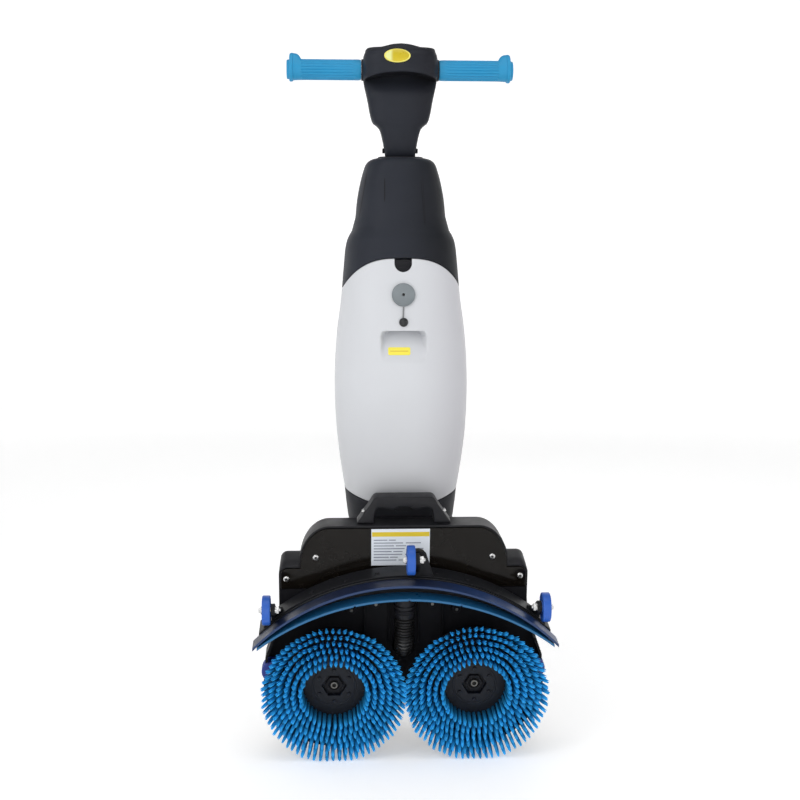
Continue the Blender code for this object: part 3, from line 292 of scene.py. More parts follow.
def squared(value, power):
    """A sine or cosine raised to a power with its sign kept, for a rounded-square outline."""
    return copysign(abs(value) ** power, value)


def round_angles(count):
    return [2 * pi * k / count for k in range(count)]


def placed(name, data):
    """A new object, linked into the scene."""
    made = bpy.data.objects.new(name, data)
    bpy.context.scene.collection.objects.link(made)
    return made


def loft(sections, ring=False, caps=True):
    """Skin a run of equal closed loops."""
    count = len(sections[0])
    verts = [point for section in sections for point in section]
    faces = []
    spans = len(sections) if ring else len(sections) - 1
    for a in range(spans):
        b = (a + 1) % len(sections)
        for k in range(count):
            n = (k + 1) % count
            faces.append((a * count + k, a * count + n, b * count + n, b * count + k))
    if caps and not ring:
        faces += [tuple(range(count)), tuple(range(len(verts) - count, len(verts)))]
    return verts, faces


def grid(rows):
    """Skin a run of equal open rows."""
    count = len(rows[0])
    verts = [point for row in rows for point in row]
    faces = [(a * count + k, a * count + k + 1, (a + 1) * count + k + 1, (a + 1) * count + k)
             for a in range(len(rows) - 1) for k in range(count - 1)]
    return verts, faces


def hexed(radius, angle):
    """The radius of a hexagon, across its corners at the given radius, at an angle."""
    turn = (angle % (pi / 3)) - pi / 6
    return radius * cos(pi / 6) / cos(turn)


def turned(profile, count=48, ring=False, open_end=False):
    """Turn (radius, height) points about z. A third value of "hex" makes that ring a hexagon."""
    sections = []
    for entry in profile:
        radius, height = entry[:2]
        section = []
        for angle in round_angles(count):
            here = hexed(radius, angle) if len(entry) > 2 else radius
            section.append(Vector((here * cos(angle), here * sin(angle), height)))
        sections.append(section)
    return loft(sections, ring, caps=not open_end)


PLANES = {
    "xz": lambda u, v, w: Vector((u, w, v)),
    "xy": lambda u, v, w: Vector((u, v, w)),
    "yz": lambda u, v, w: Vector((w, u, v)),
}


def prism(outline, low, high, plane="xz"):
    place = PLANES[plane]
    return loft([[place(u, v, w) for u, v in outline] for w in (low, high)])


def block(low, high):
    (x0, y0, z0), (x1, y1, z1) = low, high
    return prism([(x0, z0), (x1, z0), (x1, z1), (x0, z1)], y0, y1)


def arc(centre, radius, start, end, steps):
    across, up = radius if isinstance(radius, tuple) else (radius, radius)
    return [(centre[0] + across * cos(radians(start + (end - start) * k / steps)),
             centre[1] + up * sin(radians(start + (end - start) * k / steps)))
            for k in range(steps + 1)]


def mirrored(half):
    """A half outline at positive u and its mirror image, with the points on the middle line kept single."""
    return half + [(-u, v) for u, v in reversed(half) if u > 1e-9]


def doubled(profile):
    """Half a profile to be turned, and its mirror image past the middle."""
    return profile + [(radius, -height) for radius, height in reversed(profile)]


def inset(outline, distance):
    """Move each corner of a clockwise outline inwards along its mean normal."""
    moved = []
    for k, (u, v) in enumerate(outline):
        before, after = Vector(outline[k - 1]), Vector(outline[(k + 1) % len(outline)])
        here = Vector((u, v))
        first, second = (here - before).normalized(), (after - here).normalized()
        normal = Vector((first.y + second.y, -first.x - second.x))
        stretch = max(0.5, 1 + first.dot(second))
        moved.append(tuple(here + normal * (distance / stretch)))
    return moved


def shifted(shape, matrix):
    return [matrix @ Vector(v) for v in shape[0]], shape[1]


def joined(*shapes):
    verts, faces = [], []
    for shape_verts, shape_faces in shapes:
        start = len(verts)
        verts += list(shape_verts)
        faces += [tuple(start + k for k in face) for face in shape_faces]
    return verts, faces


def mesh_of(name, shape, surface, weld=True):
    mesh = bpy.data.meshes.new(name)
    mesh.from_pydata([tuple(v) for v in shape[0]], [], shape[1])
    if weld:
        shell = bmesh.new()
        shell.from_mesh(mesh)
        bmesh.ops.remove_doubles(shell, verts=shell.verts, dist=1e-6)
        bmesh.ops.dissolve_degenerate(shell, dist=1e-7, edges=shell.edges)
        bmesh.ops.recalc_face_normals(shell, faces=shell.faces)
        shell.to_mesh(mesh)
        shell.free()
    mesh.materials.append(surface)
    return mesh


def settle(made):
    """Bake a piece's modifiers into its mesh."""
    graph = bpy.context.evaluated_depsgraph_get()
    mesh = bpy.data.meshes.new_from_object(made.evaluated_get(graph))
    made.modifiers.clear()
    made.data = mesh


BEVELLED_SHARP = 44     # degrees: above the angle between a rounded edge's facets


def piece(name, shape, surface, place, body, stands_for=(), cuts=(), adds=(), bevel=0.0, sharp=32,
          slot=None, blended=None):
    """Make a piece in a local frame, cut and join it, round its edges and let it ride on a CAD body."""
    made = placed(name, mesh_of(name, shape, surface))
    tools = []
    for operation, shapes in (("UNION", adds), ("DIFFERENCE", cuts)):
        for tool_shape in shapes:
            tool = placed("tool", mesh_of("tool", tool_shape, surface))
            change = made.modifiers.new("change", "BOOLEAN")
            change.operation = operation
            change.object = tool
            change.solver = "EXACT"
            tools.append(tool)
    if bevel:
        rounding = made.modifiers.new("rounding", "BEVEL")
        rounding.width = bevel
        rounding.segments = 3
        rounding.limit_method = "ANGLE"
        rounding.angle_limit = radians(sharp)
        rounding.use_clamp_overlap = True
    bpy.context.view_layer.update()
    if made.modifiers:
        settle(made)
    for tool in tools:
        bpy.data.objects.remove(tool, do_unlink=True)
    made.data.shade_smooth()
    made.data.set_sharp_from_angle(angle=radians(BEVELLED_SHARP if bevel else sharp))
    made.matrix_world = place
    if blended:
        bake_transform(made)
    else:
        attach(made, body)
    if stands_for:
        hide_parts(*stands_for)
    return made


def refined(node, surface, bevel=0.0008, sharp=32):
    """The CAD node's own shape, copied, with its flats merged and its edges rounded."""
    source = frame["nodes"][node]
    mesh = source.data.copy()
    shell = bmesh.new()
    shell.from_mesh(mesh)
    bmesh.ops.remove_doubles(shell, verts=shell.verts, dist=1e-6)
    bmesh.ops.dissolve_limit(shell, angle_limit=radians(0.8), verts=shell.verts, edges=shell.edges)
    shape = ([v.co.copy() for v in shell.verts], [tuple(v.index for v in f.verts) for f in shell.faces])
    shell.free()
    bpy.data.meshes.remove(mesh)
    return piece(f"{node}_fine", shape, surface, Matrix.Identity(4), source["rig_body"], (node,), bevel=bevel,
                 sharp=sharp)


def smooth_rows(rows):
    """Turn a table of rows into a function that runs smoothly through them, without overshoot."""
    knots = [row[0] for row in rows]
    columns = list(zip(*(row[1:] for row in rows)))
    slopes = []
    for values in columns:
        steps = [(values[k + 1] - values[k]) / (knots[k + 1] - knots[k]) for k in range(len(knots) - 1)]
        slope = [steps[0]]
        for before, after in zip(steps, steps[1:]):
            slope.append(0.0 if before * after <= 0 else 2 * before * after / (before + after))
        slopes.append(slope + [steps[-1]])

    def value(height):
        height = within(height, knots[0], knots[-1])
        k = 0
        while k < len(knots) - 2 and height > knots[k + 1]:
            k += 1
        span = knots[k + 1] - knots[k]
        t = (height - knots[k]) / span
        found = []
        for values, slope in zip(columns, slopes):
            found.append(values[k] * (1 + 2 * t) * (1 - t) ** 2 + slope[k] * span * t * (1 - t) ** 2
                         + values[k + 1] * t * t * (3 - 2 * t) + slope[k + 1] * span * t * t * (t - 1))
        return tuple(found)
    return value


column_size = smooth_rows(COLUMN_PROFILE)
head_row = smooth_rows(HEAD_PROFILE)


def straight_rows(rows):
    """The same with straight lines between the rows."""
    def value(height):
        height = within(height, rows[0][0], rows[-1][0])
        for low, high in zip(rows, rows[1:]):
            if height <= high[0]:
                share = (height - low[0]) / (high[0] - low[0])
                return tuple(a + (b - a) * share for a, b in zip(low[1:], high[1:]))
        return rows[-1][1:]
    return value


hood_depth = straight_rows(HOOD_DEPTH)


# ---------------------------------------------------------------- studio and camera
def make_studio():
    world = bpy.data.worlds.new("studio")
    bpy.context.scene.world = world
    world.use_nodes = True
    world.node_tree.nodes["Background"].inputs["Color"].default_value = (1.0, 1.0, 1.0, 1)
    world.node_tree.nodes["Background"].inputs["Strength"].default_value = 0.31
    paint = finish_of("floor_paint", (0.90, 0.90, 0.90), 0.9, mottle=0.004, bump=0.0, specular=0.1)
    shader = paint.node_tree.nodes["Principled BSDF"].inputs
    shader["Emission Color"].default_value = (1, 1, 1, 1)
    shader["Emission Strength"].default_value = 0.36
    # A round floor that sweeps up into a wall all the way round.
    reach, bend, top = 6.0, 1.2, 5.0
    side = [(0.0, 0.0), (2.0, 0.0)] + arc((reach, bend), bend, -90, 0, 24) + [(reach + bend, top)]
    floor = placed("studio_floor", mesh_of("studio_floor", turned(side, 96, open_end=True), paint))
    floor.data.shade_smooth()
    for name, spot, aim, power, size in (("key", (-1.9, -2.6, 2.7), (0, 0, 0.65), 24, 1.4),
                                         ("fill", (2.6, -2.4, 1.5), (0, 0, 0.6), 4.2, 2.2),
                                         ("low", (-0.5, -2.8, 0.5), (0, -0.1, 0.22), 6.3, 1.2),
                                         ("top", (0.0, -0.9, 3.3), (0, 0, 0.6), 18, 1.8),
                                         ("back", (0.6, 2.8, 2.6), (0, 0, 0.7), 11, 2.0)):
        lamp = placed(name, bpy.data.lights.new(name, "AREA"))
        lamp.data.energy = power
        lamp.data.size = size
        lamp.location = spot
        lamp.rotation_euler = (Vector(aim) - Vector(spot)).to_track_quat("-Z", "Y").to_euler()
    view = bpy.context.scene.view_settings
    view.view_transform = "Standard"
    view.look = "None"
    view.exposure = 0.0
    view.gamma = 1.0


def make_camera():
    """A camera at chest height, a little to the left of the middle and tipped slightly down."""
    turn, tip, distance, height = radians(2.90), radians(4.39), 2.227, 0.744
    lens = bpy.data.cameras.new("camera")
    lens.sensor_width = 36.0
    lens.lens = 58.63
    camera = placed("camera", lens)
    camera.location = COLUMN.translation + Vector((-sin(turn) * distance, -cos(turn) * distance, height))
    along = Vector((sin(turn) * cos(tip), cos(turn) * cos(tip), -sin(tip)))
    camera.rotation_euler = along.to_track_quat("-Z", "Y").to_euler()
    bpy.context.scene.camera = camera


# ---------------------------------------------------------------- small hardware
def socket_screw(name, spot):
    """A button-head screw with a hexagon socket, on the deck. Its head points down."""
    outer = 0.0052
    place = DECK @ at(*spot) @ ALONG_MINUS_Y
    head = [(0, -0.004), (outer * 0.55, -0.004), (outer * 0.55, 0), (outer, 0), (outer, 0.0006),
            (outer * 0.94, 0.0013), (outer * 0.75, 0.0021), (outer * 0.56, 0.0024)]
    socket = [(outer * 0.50, 0.0024, "hex"), (outer * 0.48, 0.0021, "hex"), (outer * 0.46, 0.0004, "hex")]
    piece(name, turned(head + socket + [(0, 0.0002)], 36), STEEL, place, "deck", sharp=40)
    # A near-black hexagon at the bottom of the socket, painted shade for the socket.
    dark = [(0, 0.00025), (outer * 0.44, 0.00025, "hex"), (outer * 0.44, 0.0005, "hex"), (0, 0.0005)]
    piece(f"{name}_socket", turned(dark, 24), HOLE_SHADE, place, "deck")


def hex_nut(radius, low, high, hole):
    """The profile of a nut with eased edges, open at its hole."""
    ease = radius * 0.07
    return [(hole, low), (radius - ease, low, "hex"), (radius, low + ease, "hex"), (radius, high - ease, "hex"),
            (radius - ease, high, "hex"), (hole * 1.05, high), (hole, high - ease)]


# ---------------------------------------------------------------- deck
def brush_skirt(radius, start, waist):
    return arc((BRUSH_X, 0), radius, start, -160, 56) + [(0, waist)]


def base_outline():
    half = [(0, 0.150), (0.201, 0.150), (0.204, 0.118), (0.2155, 0.075), (0.226, 0.045)]
    return mirrored(half + brush_skirt(0.115, 14, -0.036))


def housing_outline(height):
    """The top cover's outline at a height: two skirts round the brushes, two blocks and the rear hump."""
    draft = within((height - BASE_TOP) / 0.044)
    block_rear = 0.188 + 0.011 * draft
    shoulder_low, shoulder = 0.186, 0.070
    end = degrees(asin(within((block_rear - shoulder_low) / shoulder)))
    half = [(0, HUMP_REAR)]
    half += arc((HUMP_FLAT, shoulder_low), (HUMP_HALF - HUMP_FLAT, shoulder), 90, end, 28)
    half += arc((BLOCK_HALF - 0.014, block_rear - 0.014), 0.014, 90, 0, 8)
    half += [(BLOCK_HALF, 0.118), (0.2125, 0.075), (0.223, 0.045)]
    return mirrored(half + brush_skirt(0.112, 14, -0.034))


def make_deck_base():
    cuts = [prism(inset(base_outline(), 0.004), 0.050, 0.089),
            block((-0.3, 0.040, 0.074), (0.3, 0.089, 0.20))]
    for x in (-BRUSH_X, BRUSH_X):
        cuts.append(shifted(turned([(0.016, 0.08), (0.016, 0.11)], 40), at(x, 0, 0) @ ALONG_Y))
        cuts.append(shifted(turned([(0.0215, 0.04), (0.0215, 0.0885)], 48),
                            at(copysign(ROLLER_X, x), 0, ROLLER_Z) @ ALONG_Y))
    cuts.append(shifted(turned([(0.0185, 0.08), (0.0185, 0.11)], 40), at(0, 0, 0.050) @ ALONG_Y))
    # The base, its bosses and its ribs carry the painted shade of the darker base plastic.
    piece("deck_base_fine", prism(base_outline(), 0.058, BASE_TOP), BASE_BLACK_IN_PAINTED_SHADE, DECK, "deck", ("deck_base",),
          cuts=cuts, sharp=30)

    # Bosses and ribs on the underside, between the brushes and the squeegee.
    low = 0.0888
    for k, (x, z) in enumerate(((-0.086, 0.118), (-0.046, 0.128), (0.046, 0.128), (0.086, 0.118))):
        boss = [(0, low), (0.0085, low), (0.0078, low - 0.010), (0.0070, low - 0.0108), (0.0035, low - 0.0108),
                (0.0032, low - 0.006), (0, low - 0.006)]
        piece(f"deck_boss_{k}", turned(boss, 32), BASE_BLACK_IN_PAINTED_SHADE, DECK @ at(x, 0, z) @ ALONG_Y, "deck", sharp=40)
        bolt = [(0, low - 0.0135), (0.0024, low - 0.0135), (0.0028, low - 0.0128), (0.0028, low - 0.0061),
                (0, low - 0.0061)]
        piece(f"deck_boss_screw_{k}", turned(bolt, 20), DULL_STEEL, DECK @ at(x, 0, z) @ ALONG_Y, "deck")
    for k, x in enumerate((-0.064, -0.0245, 0.0245, 0.064)):
        piece(f"deck_rib_{k}", block((x - 0.0011, low - 0.008, 0.058), (x + 0.0011, low, 0.146)), BASE_BLACK_IN_PAINTED_SHADE,
              DECK, "deck", bevel=0.0005)


def make_housing():
    levels = [(BASE_TOP + GAP, 0.0008), (BASE_TOP + 0.0012, 0.0), (0.118, 0.0006), (0.136, 0.0016)]
    rounding = 0.0085
    for k in range(9):
        angle = pi / 2 * k / 8
        levels.append((HOUSING_TOP - rounding * (1 - sin(angle)), 0.0018 + rounding * (1 - cos(angle))))
    outer = [[Vector((u, height, v)) for u, v in inset(housing_outline(height), edge)]
             for height, edge in levels]
    inner = [[Vector((u, height, v)) for u, v in inset(housing_outline(height), WALL + edge)]
             for height, edge in ((0.1465, 0.004), (0.140, 0.002), (BASE_TOP + GAP, 0.0))]
    piece("deck_housing_fine", loft(inner + outer), DECK_BLACK, DECK, "deck", ("deck_housing",), sharp=40)

    # Two vents and a shallow raised field on the top cover, seen from behind.
    low = HOUSING_TOP - 0.0004
    for side in (-1, 1):
        for k in range(5):
            x = side * (0.118 + 0.011 * k)
            outline = arc((x, 0.110), 0.0022, 0, 180, 8) + arc((x, 0.072), 0.0022, 180, 360, 8)
            piece(f"vent_{'right' if side > 0 else 'left'}_{k}", prism(outline, low, low + 0.0010), DARK_TRIM,
                  DECK, "deck", sharp=40)
    field = [(-0.100, -0.030), (-0.100, 0.040), (0.100, 0.040), (0.100, -0.030)]
    piece("cover_badge_field", prism(field, low, low + 0.0008), DECK_BLACK, DECK, "deck", bevel=0.0004)


def make_underside_panel():
    outline = [(u, v) for u, v in inset(housing_outline(BASE_TOP), 0.0035) if v > 0.150]
    edge = max(u for u, v in outline)
    rim = [(-edge, 0.1505)] + sorted((p for p in outline if p[0] < 0), key=lambda p: (p[0], p[1]))
    rim += sorted((p for p in outline if p[0] >= 0), key=lambda p: (p[0], -p[1])) + [(edge, 0.1505)]
    piece("underside_panel_fine", prism(rim, 0.0925, 0.0960), PANEL_BLACK, DECK, "deck", ("underside_panel",),
          bevel=0.0006, sharp=40)
    for name, x, z in (("a", -0.1435, 0.2040), ("b", 0.1440, 0.2035), ("c", -0.1915, 0.1675),
                       ("d", 0.1905, 0.1695)):
        socket_screw(f"panel_screw_{name}", (x, 0.0924, z))


def make_label():
    """A plain rating plate: a coloured band and rows of plain bars stand in for its print."""
    low, high, left, right, face = 0.1895, 0.2521, -0.0535, 0.0415, 0.0921

    def printed(start, end, bottom, top):
        return block((start, face - 0.00025, bottom), (end, face - 0.00002, top))

    piece("rating_plate", block((left, face, low), (right, face + 0.0003, high)), LABEL_PAPER, DECK, "deck")
    piece("rating_band", printed(left + 0.0012, right - 0.0008, high - 0.0128, high - 0.0052), LABEL_YELLOW,
          DECK, "deck")
    bars = []
    start = left + 0.004
    for k, share in enumerate((0.42, 0.90, 0.62, 0.95, 0.55, 0.88, 0.46, 0.70)):
        length, z = 0.085 * share, high - 0.0190 - 0.0049 * k
        for first, last in ((0.0, 0.62), (0.68, 1.0)):
            bars.append(printed(start + length * first, start + length * last, z - 0.0008, z + 0.0008))
    piece("rating_bars", joined(*bars), LABEL_INK, DECK, "deck")


def make_carry_handle():
    low = HUMP_REAR + GAP
    outer = [(-0.0770, low), (-0.0752, low + 0.0035), (-0.0735, low + 0.006), (-0.0545, 0.2900),
             (-0.0515, 0.2955), (-0.0485, 0.2992), (-0.0445, 0.3010)]
    outer = outer + [(-u, v) for u, v in reversed(outer)]
    hole = [(-0.0490, 0.250), (-0.0480, 0.2690), (-0.0455, 0.2790), (-0.0430, 0.2822), (-0.0395, 0.2835)]
    hole += [(-0.0300, 0.2825), (-0.0210, 0.2800), (-0.0140, 0.2812), (-0.0090, 0.2845)]
    hole = hole + [(-u, v) for u, v in reversed(hole)]
    piece("carry_handle_fine", prism(outer, 0.106, 0.134), DECK_BLACK, DECK, "deck", ("carry_handle",),
          cuts=[prism(hole, 0.09, 0.15)], bevel=0.0022, sharp=30)
    # A finger rail along the rear of the opening, and the feet's screws.
    rail = [(-0.0470, 0.2700), (-0.0440, 0.2795), (-0.0180, 0.2740), (-0.0100, 0.2700), (0.0100, 0.2700),
            (0.0180, 0.2740), (0.0440, 0.2795), (0.0470, 0.2700), (0.0470, 0.2830), (-0.0470, 0.2830)]
    piece("handle_finger_rail", prism(rail, 0.1275, 0.1335), DARK_TRIM, DECK, "deck", bevel=0.0010)
    nut = hex_nut(0.0036, 0.0, 0.0026, 0.0016)
    tip = [(0, -0.003), (0.0015, -0.003), (0.0015, 0.0030), (0.0011, 0.0034), (0, 0.0034)]
    for side, name in ((-1, "left"), (1, "right")):
        place = DECK @ at(side * 0.0652, 0.1130, 0.2764) @ Matrix.Rotation(side * radians(58), 4, "Y")
        piece(f"handle_nut_{name}", turned(nut + [(0.0016, 0.0)], 24, ring=True), STEEL, place, "deck",
              sharp=25)
        piece(f"handle_stud_{name}", turned(tip, 16), STEEL, place, "deck")


def make_hose():
    """Bellows hose from the squeegee's port, turning up through the hole in the base."""
    start, straight_end, drop = 0.1115, 0.0740, 0.068
    bend_radius = 0.0260
    straight_length = start - straight_end
    total = straight_length + bend_radius * pi / 2
    steps, count, pitch = 150, 56, 0.0049
    sections = []
    for k in range(steps + 1):
        travel = total * k / steps
        if travel <= straight_length:
            middle, along = Vector((0, drop, start - travel)), Vector((0, 0, -1))
        else:
            angle = (travel - straight_length) / bend_radius
            middle = Vector((0, drop + bend_radius * (1 - cos(angle)), straight_end - bend_radius * sin(angle)))
            along = Vector((0, sin(angle), -cos(angle)))
        third = along.cross(Vector((1, 0, 0)))
        wave = 0.5 + 0.5 * cos(2 * pi * travel / pitch)
        radius = 0.0130 + 0.0030 * wave ** 0.7 if 0.001 < travel < total - 0.001 else 0.0135
        sections.append([middle + radius * (Vector((1, 0, 0)) * cos(turn) + third * sin(turn))
                         for turn in round_angles(count)])
    piece("suction_hose_fine", loft(sections), HOSE_BLACK, DECK, "deck", ("suction_hose",), sharp=80,
          blended=("deck", "squeegee", DECK @ Vector((0, drop, 0.078)), DECK @ Vector((0, drop, start))))


def make_transport_gear():
    joint = JOINTS["transport_spin_left"]["pos_m"]
    radius = joint[2] - 0.0001
    tyre = [(radius - 0.012, -0.0135), (radius - 0.006, -0.0145)]
    tyre += [(radius - 0.0045 + 0.0045 * cos(a), -0.0095 - 0.0045 * sin(a)) for a in (1.2, 0.8, 0.4, 0.0)]
    tyre += [(radius, -0.006), (radius - 0.0010, -0.0055), (radius - 0.0010, -0.0045), (radius, -0.004)]
    hub = [(0.0054, -0.0155), (0.0120, -0.0155), (0.0130, -0.0145), (0.0135, -0.0075), (0.0150, -0.0065),
           (radius - 0.0150, -0.0060), (radius - 0.0135, -0.0125), (radius - 0.0122, -0.0130)]
    for side in ("left", "right"):
        place = at(*JOINTS[f"transport_spin_{side}"]["pos_m"]) @ ALONG_X
        body = f"transport_{side}"
        piece(f"transport_tyre_{side}", turned(doubled(tyre), 72, ring=True), TYRE_GREY, place, body,
              (f"transport_wheel_{side}",), sharp=40)
        piece(f"transport_hub_{side}", turned(doubled(hub), 64, ring=True), HUB_GREY, place, body, sharp=40)
    refined("wheel_bracket", DECK_BLACK, 0.0010)
    refined("transport_axle", STEEL, 0.0, 40)


def make_joint():
    refined("joint_yoke", CHARCOAL, 0.0012)
    refined("cross_block", DARK_TRIM, 0.0012)
    refined("pitch_pin", STEEL, 0.0, 40)
    refined("roll_pin", STEEL, 0.0, 40)


# ---------------------------------------------------------------- brushes
ROOT_RINGS = (0.0530, 0.0618, 0.0706, 0.0794, 0.0882, 0.0966)
TIP_RINGS = (0.0548, 0.0668, 0.0790, 0.0910, 0.1030, 0.1142)
ROOT_HEIGHT = 0.0447
STRANDS, STRAND_SIZE = 12, 0.00128
GOLDEN_ANGLE = 2.39996
TIP_CLEARANCE, TIP_SQUASH = 0.0012, 0.08


def bristle_shape(seed):
    """Six rings of tufts, each a bundle of tapered strands, and each point's tone: a random tone per tuft and
    strand, times painted shade that darkens each strand towards its root.
    """
    chance = random.Random(seed)
    verts, faces, tones = [], [], []
    for ring_index, (root_radius, tip_radius) in enumerate(zip(ROOT_RINGS, TIP_RINGS)):
        number = round(2 * pi * root_radius / 0.0086)
        shift = chance.random()
        outermost = ring_index == len(ROOT_RINGS) - 1
        for tuft in range(number):
            angle = 2 * pi * (tuft + shift) / number
            splay = chance.uniform(-0.0012, 0.0012 if not outermost else 0.0018)
            sway = chance.uniform(-0.0010, 0.0010) / tip_radius
            tuft_tone = chance.uniform(0.84, 1.08)
            length = chance.uniform(-0.0005, 0.0016)
            for strand in range(STRANDS):
                spread = sqrt((strand + 0.5) / STRANDS)
                swirl = strand * GOLDEN_ANGLE + angle * 3
                offset = Vector((spread * cos(swirl), spread * sin(swirl)))
                root = (root_radius + 0.0026 * offset.x, angle + 0.0026 * offset.y / root_radius)
                tip_spread = 0.0023 + chance.uniform(-0.0004, 0.0004)
                tip = (tip_radius + splay + 1.35 * tip_spread * offset.x,
                       angle + sway + 0.90 * tip_spread * offset.y / tip_radius)
                low = length + 0.0100 * spread ** 2 * chance.uniform(0.6, 1.1)
                stations = []
                for share, girth in ((0.0, 1.0), (0.55, 1.0), (0.84, 0.92), (1.0, 0.34)):
                    bend = share ** 1.3
                    radius = root[0] + (tip[0] - root[0]) * bend
                    turn = root[1] + (tip[1] - root[1]) * bend
                    height = ROOT_HEIGHT + (low - ROOT_HEIGHT) * share
                    stations.append((radius * cos(turn), radius * sin(turn), height,
                                     STRAND_SIZE * girth, share))
                start = len(verts)
                tone = tuft_tone * chance.uniform(0.93, 1.07)
                for x, y, height, girth, share in stations:
                    # Painted shade: each strand darkens towards its root, deep in the tuft.
                    shade = tone * (0.15 + 0.85 * share ** 1.7)
                    for corner in range(4):
                        turn = pi / 2 * corner + swirl
                        verts.append(Vector((x + girth * cos(turn), y + girth * sin(turn), height)))
                        tones.append(shade)
                for level in range(len(stations) - 1):
                    for corner in range(4):
                        a, b = start + 4 * level + corner, start + 4 * level + (corner + 1) % 4
                        faces.append((a, b, b + 4, a + 4))
                end = start + 4 * (len(stations) - 1)
                faces.append((end, end + 1, end + 2, end + 3))
    return verts, faces, tones


def make_brushes():
    low = ROOT_HEIGHT + GAP
    for seed, (side, sign) in enumerate((("left", -1), ("right", 1))):
        place = DECK @ at(sign * BRUSH_X, 0, 0) @ ALONG_Y
        verts, faces, tones = bristle_shape(seed + 5)
        # The tips that reach the floor at rest are bent flat against it.
        for index, point in enumerate(verts):
            spot = place @ point
            if spot.z < TIP_CLEARANCE:
                spot.z = TIP_CLEARANCE + TIP_SQUASH * (spot.z - TIP_CLEARANCE)
                verts[index] = place.inverted() @ spot
        mesh = mesh_of(f"tufts_{side}", (verts, faces), BRISTLE, weld=False)
        # The layer holds each point's tone with its painted root shade.
        paint = mesh.color_attributes.new("strand_tone_and_root_shade", "FLOAT_COLOR", "POINT")
        paint.data.foreach_set("color", [value for tone in tones for value in (tone, tone, tone, 1.0)])
        mesh.shade_smooth()
        shell = bmesh.new()
        shell.from_mesh(mesh)
        bmesh.ops.recalc_face_normals(shell, faces=shell.faces)
        shell.to_mesh(mesh)
        shell.free()
        tufts = placed(f"tufts_{side}", mesh)
        tufts.matrix_world = place
        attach(tufts, f"brush_{side}")
        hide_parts(f"bristles_{side}")

        plate = [(0.0200, 0.0535, "hex"), (0.0200, 0.0462, "hex"), (0.0206, 0.0453, "hex"), (0.0222, 0.0450),
                 (0.0330, 0.0450), (0.0336, 0.0444), (0.0356, 0.0444), (0.0362, 0.0450), (0.0955, 0.0450),
                 (0.0975, 0.0458), (0.0985, 0.0478), (0.0980, 0.0520), (0.0972, 0.0533), (0.0300, 0.0535),
                 (0.0278, 0.0545), (0.0268, 0.0570), (0.0250, 0.0835), (0.0245, 0.0840), (0.0073, 0.0840),
                 (0.0073, 0.0620), (0, 0.0620)]
        piece(f"brush_disc_{side}", turned([(0, 0.0535)] + plate, 96), PLATE_BLACK, place, f"brush_{side}",
              (f"brush_plate_{side}",), sharp=28)
        # The drive spider in the hexagon recess, with its lugs, and the bright ring nut in the middle.
        spider = [(0, 0.0533), (0.0150, 0.0533, "hex"), (0.0150, 0.0492, "hex"), (0.0140, 0.0484, "hex"),
                  (0.0095, 0.0484), (0.0085, 0.0492), (0.0085, 0.0512), (0, 0.0512)]
        piece(f"drive_spider_{side}", turned(spider, 72), DARK_TRIM, place, f"brush_{side}", sharp=28)
        nut = [(0, 0.0511), (0.0060, 0.0511), (0.0060, 0.0470), (0.0054, 0.0463), (0.0036, 0.0463),
               (0.0032, 0.0470), (0.0032, 0.0505), (0, 0.0505)]
        piece(f"ring_nut_{side}", turned(nut, 40), DULL_STEEL, place, f"brush_{side}", sharp=35)
        # A near-black disc inside the ring nut's bore, painted shade for the bore.
        dark = [(0, 0.0492), (0.0031, 0.0492), (0.0031, 0.0504), (0, 0.0504)]
        piece(f"ring_nut_hole_shade_{side}", turned(dark, 24), HOLE_SHADE, place, f"brush_{side}")
        for k in range(6):
            angle = pi / 3 * k + pi / 6
            lug = [(0, low - 0.0021), (0.0026, low - 0.0021), (0.0030, low - 0.0016), (0.0030, low), (0, low)]
            piece(f"plate_lug_{side}_{k}", turned(lug, 20), PLATE_BLACK,
                  place @ at(0.0275 * cos(angle), 0.0275 * sin(angle), 0), f"brush_{side}", sharp=40)
        # Near-black discs on the plate, painted shade for its holes, which are not cut.
        for k in range(3):
            angle = 2 * pi / 3 * k - pi / 2
            hole = [(0, low - 0.0002), (0.0017, low - 0.0002), (0.0017, low), (0, low)]
            piece(f"plate_hole_shade_{side}_{k}", turned(hole, 16), HOLE_SHADE,
                  place @ at(0.0415 * cos(angle), 0.0415 * sin(angle), 0), f"brush_{side}")
        motor = [(0, 0.0625), (0.0070, 0.0625), (0.0070, 0.0975), (0.0405, 0.0975), (0.0425, 0.0990),
                 (0.0425, 0.1430), (0.0410, 0.1445), (0, 0.1445)]
        piece(f"brush_motor_{side}_fine", turned(motor, 48), MOTOR, place, "deck", (f"brush_motor_{side}",),
              sharp=40)


def make_wall_rollers():
    roller = [(0.0042, 0.0622), (0.0165, 0.0620), (0.0180, 0.0626), (0.0188, 0.0640), (0.0190, 0.0700),
              (0.0186, 0.0705), (0.0186, 0.0715), (0.0190, 0.0720), (0.0190, 0.0770), (0.0186, 0.0775),
              (0.0186, 0.0785), (0.0190, 0.0790), (0.0188, 0.0840), (0.0180, 0.0854), (0.0165, 0.0860),
              (0.0042, 0.0858)]
    for side, sign in (("left", -1), ("right", 1)):
        place = DECK @ at(sign * ROLLER_X, 0, ROLLER_Z) @ ALONG_Y
        piece(f"wall_roller_{side}_fine", turned(roller, 56, ring=True), ROLLER_NAVY, place, f"roller_{side}",
              (f"wall_roller_{side}",), sharp=40)
        refined(f"roller_bolt_{side}", STEEL, 0.0, 40)


# ---------------------------------------------------------------- squeegee
def arc_point(ring, x):
    """The z of a point at x on an arc that is given by its centre's z and its radius."""
    return ring[0] + sqrt(ring[1] ** 2 - x ** 2)


def grown(ring, amount):
    return ring[0], ring[1] + amount


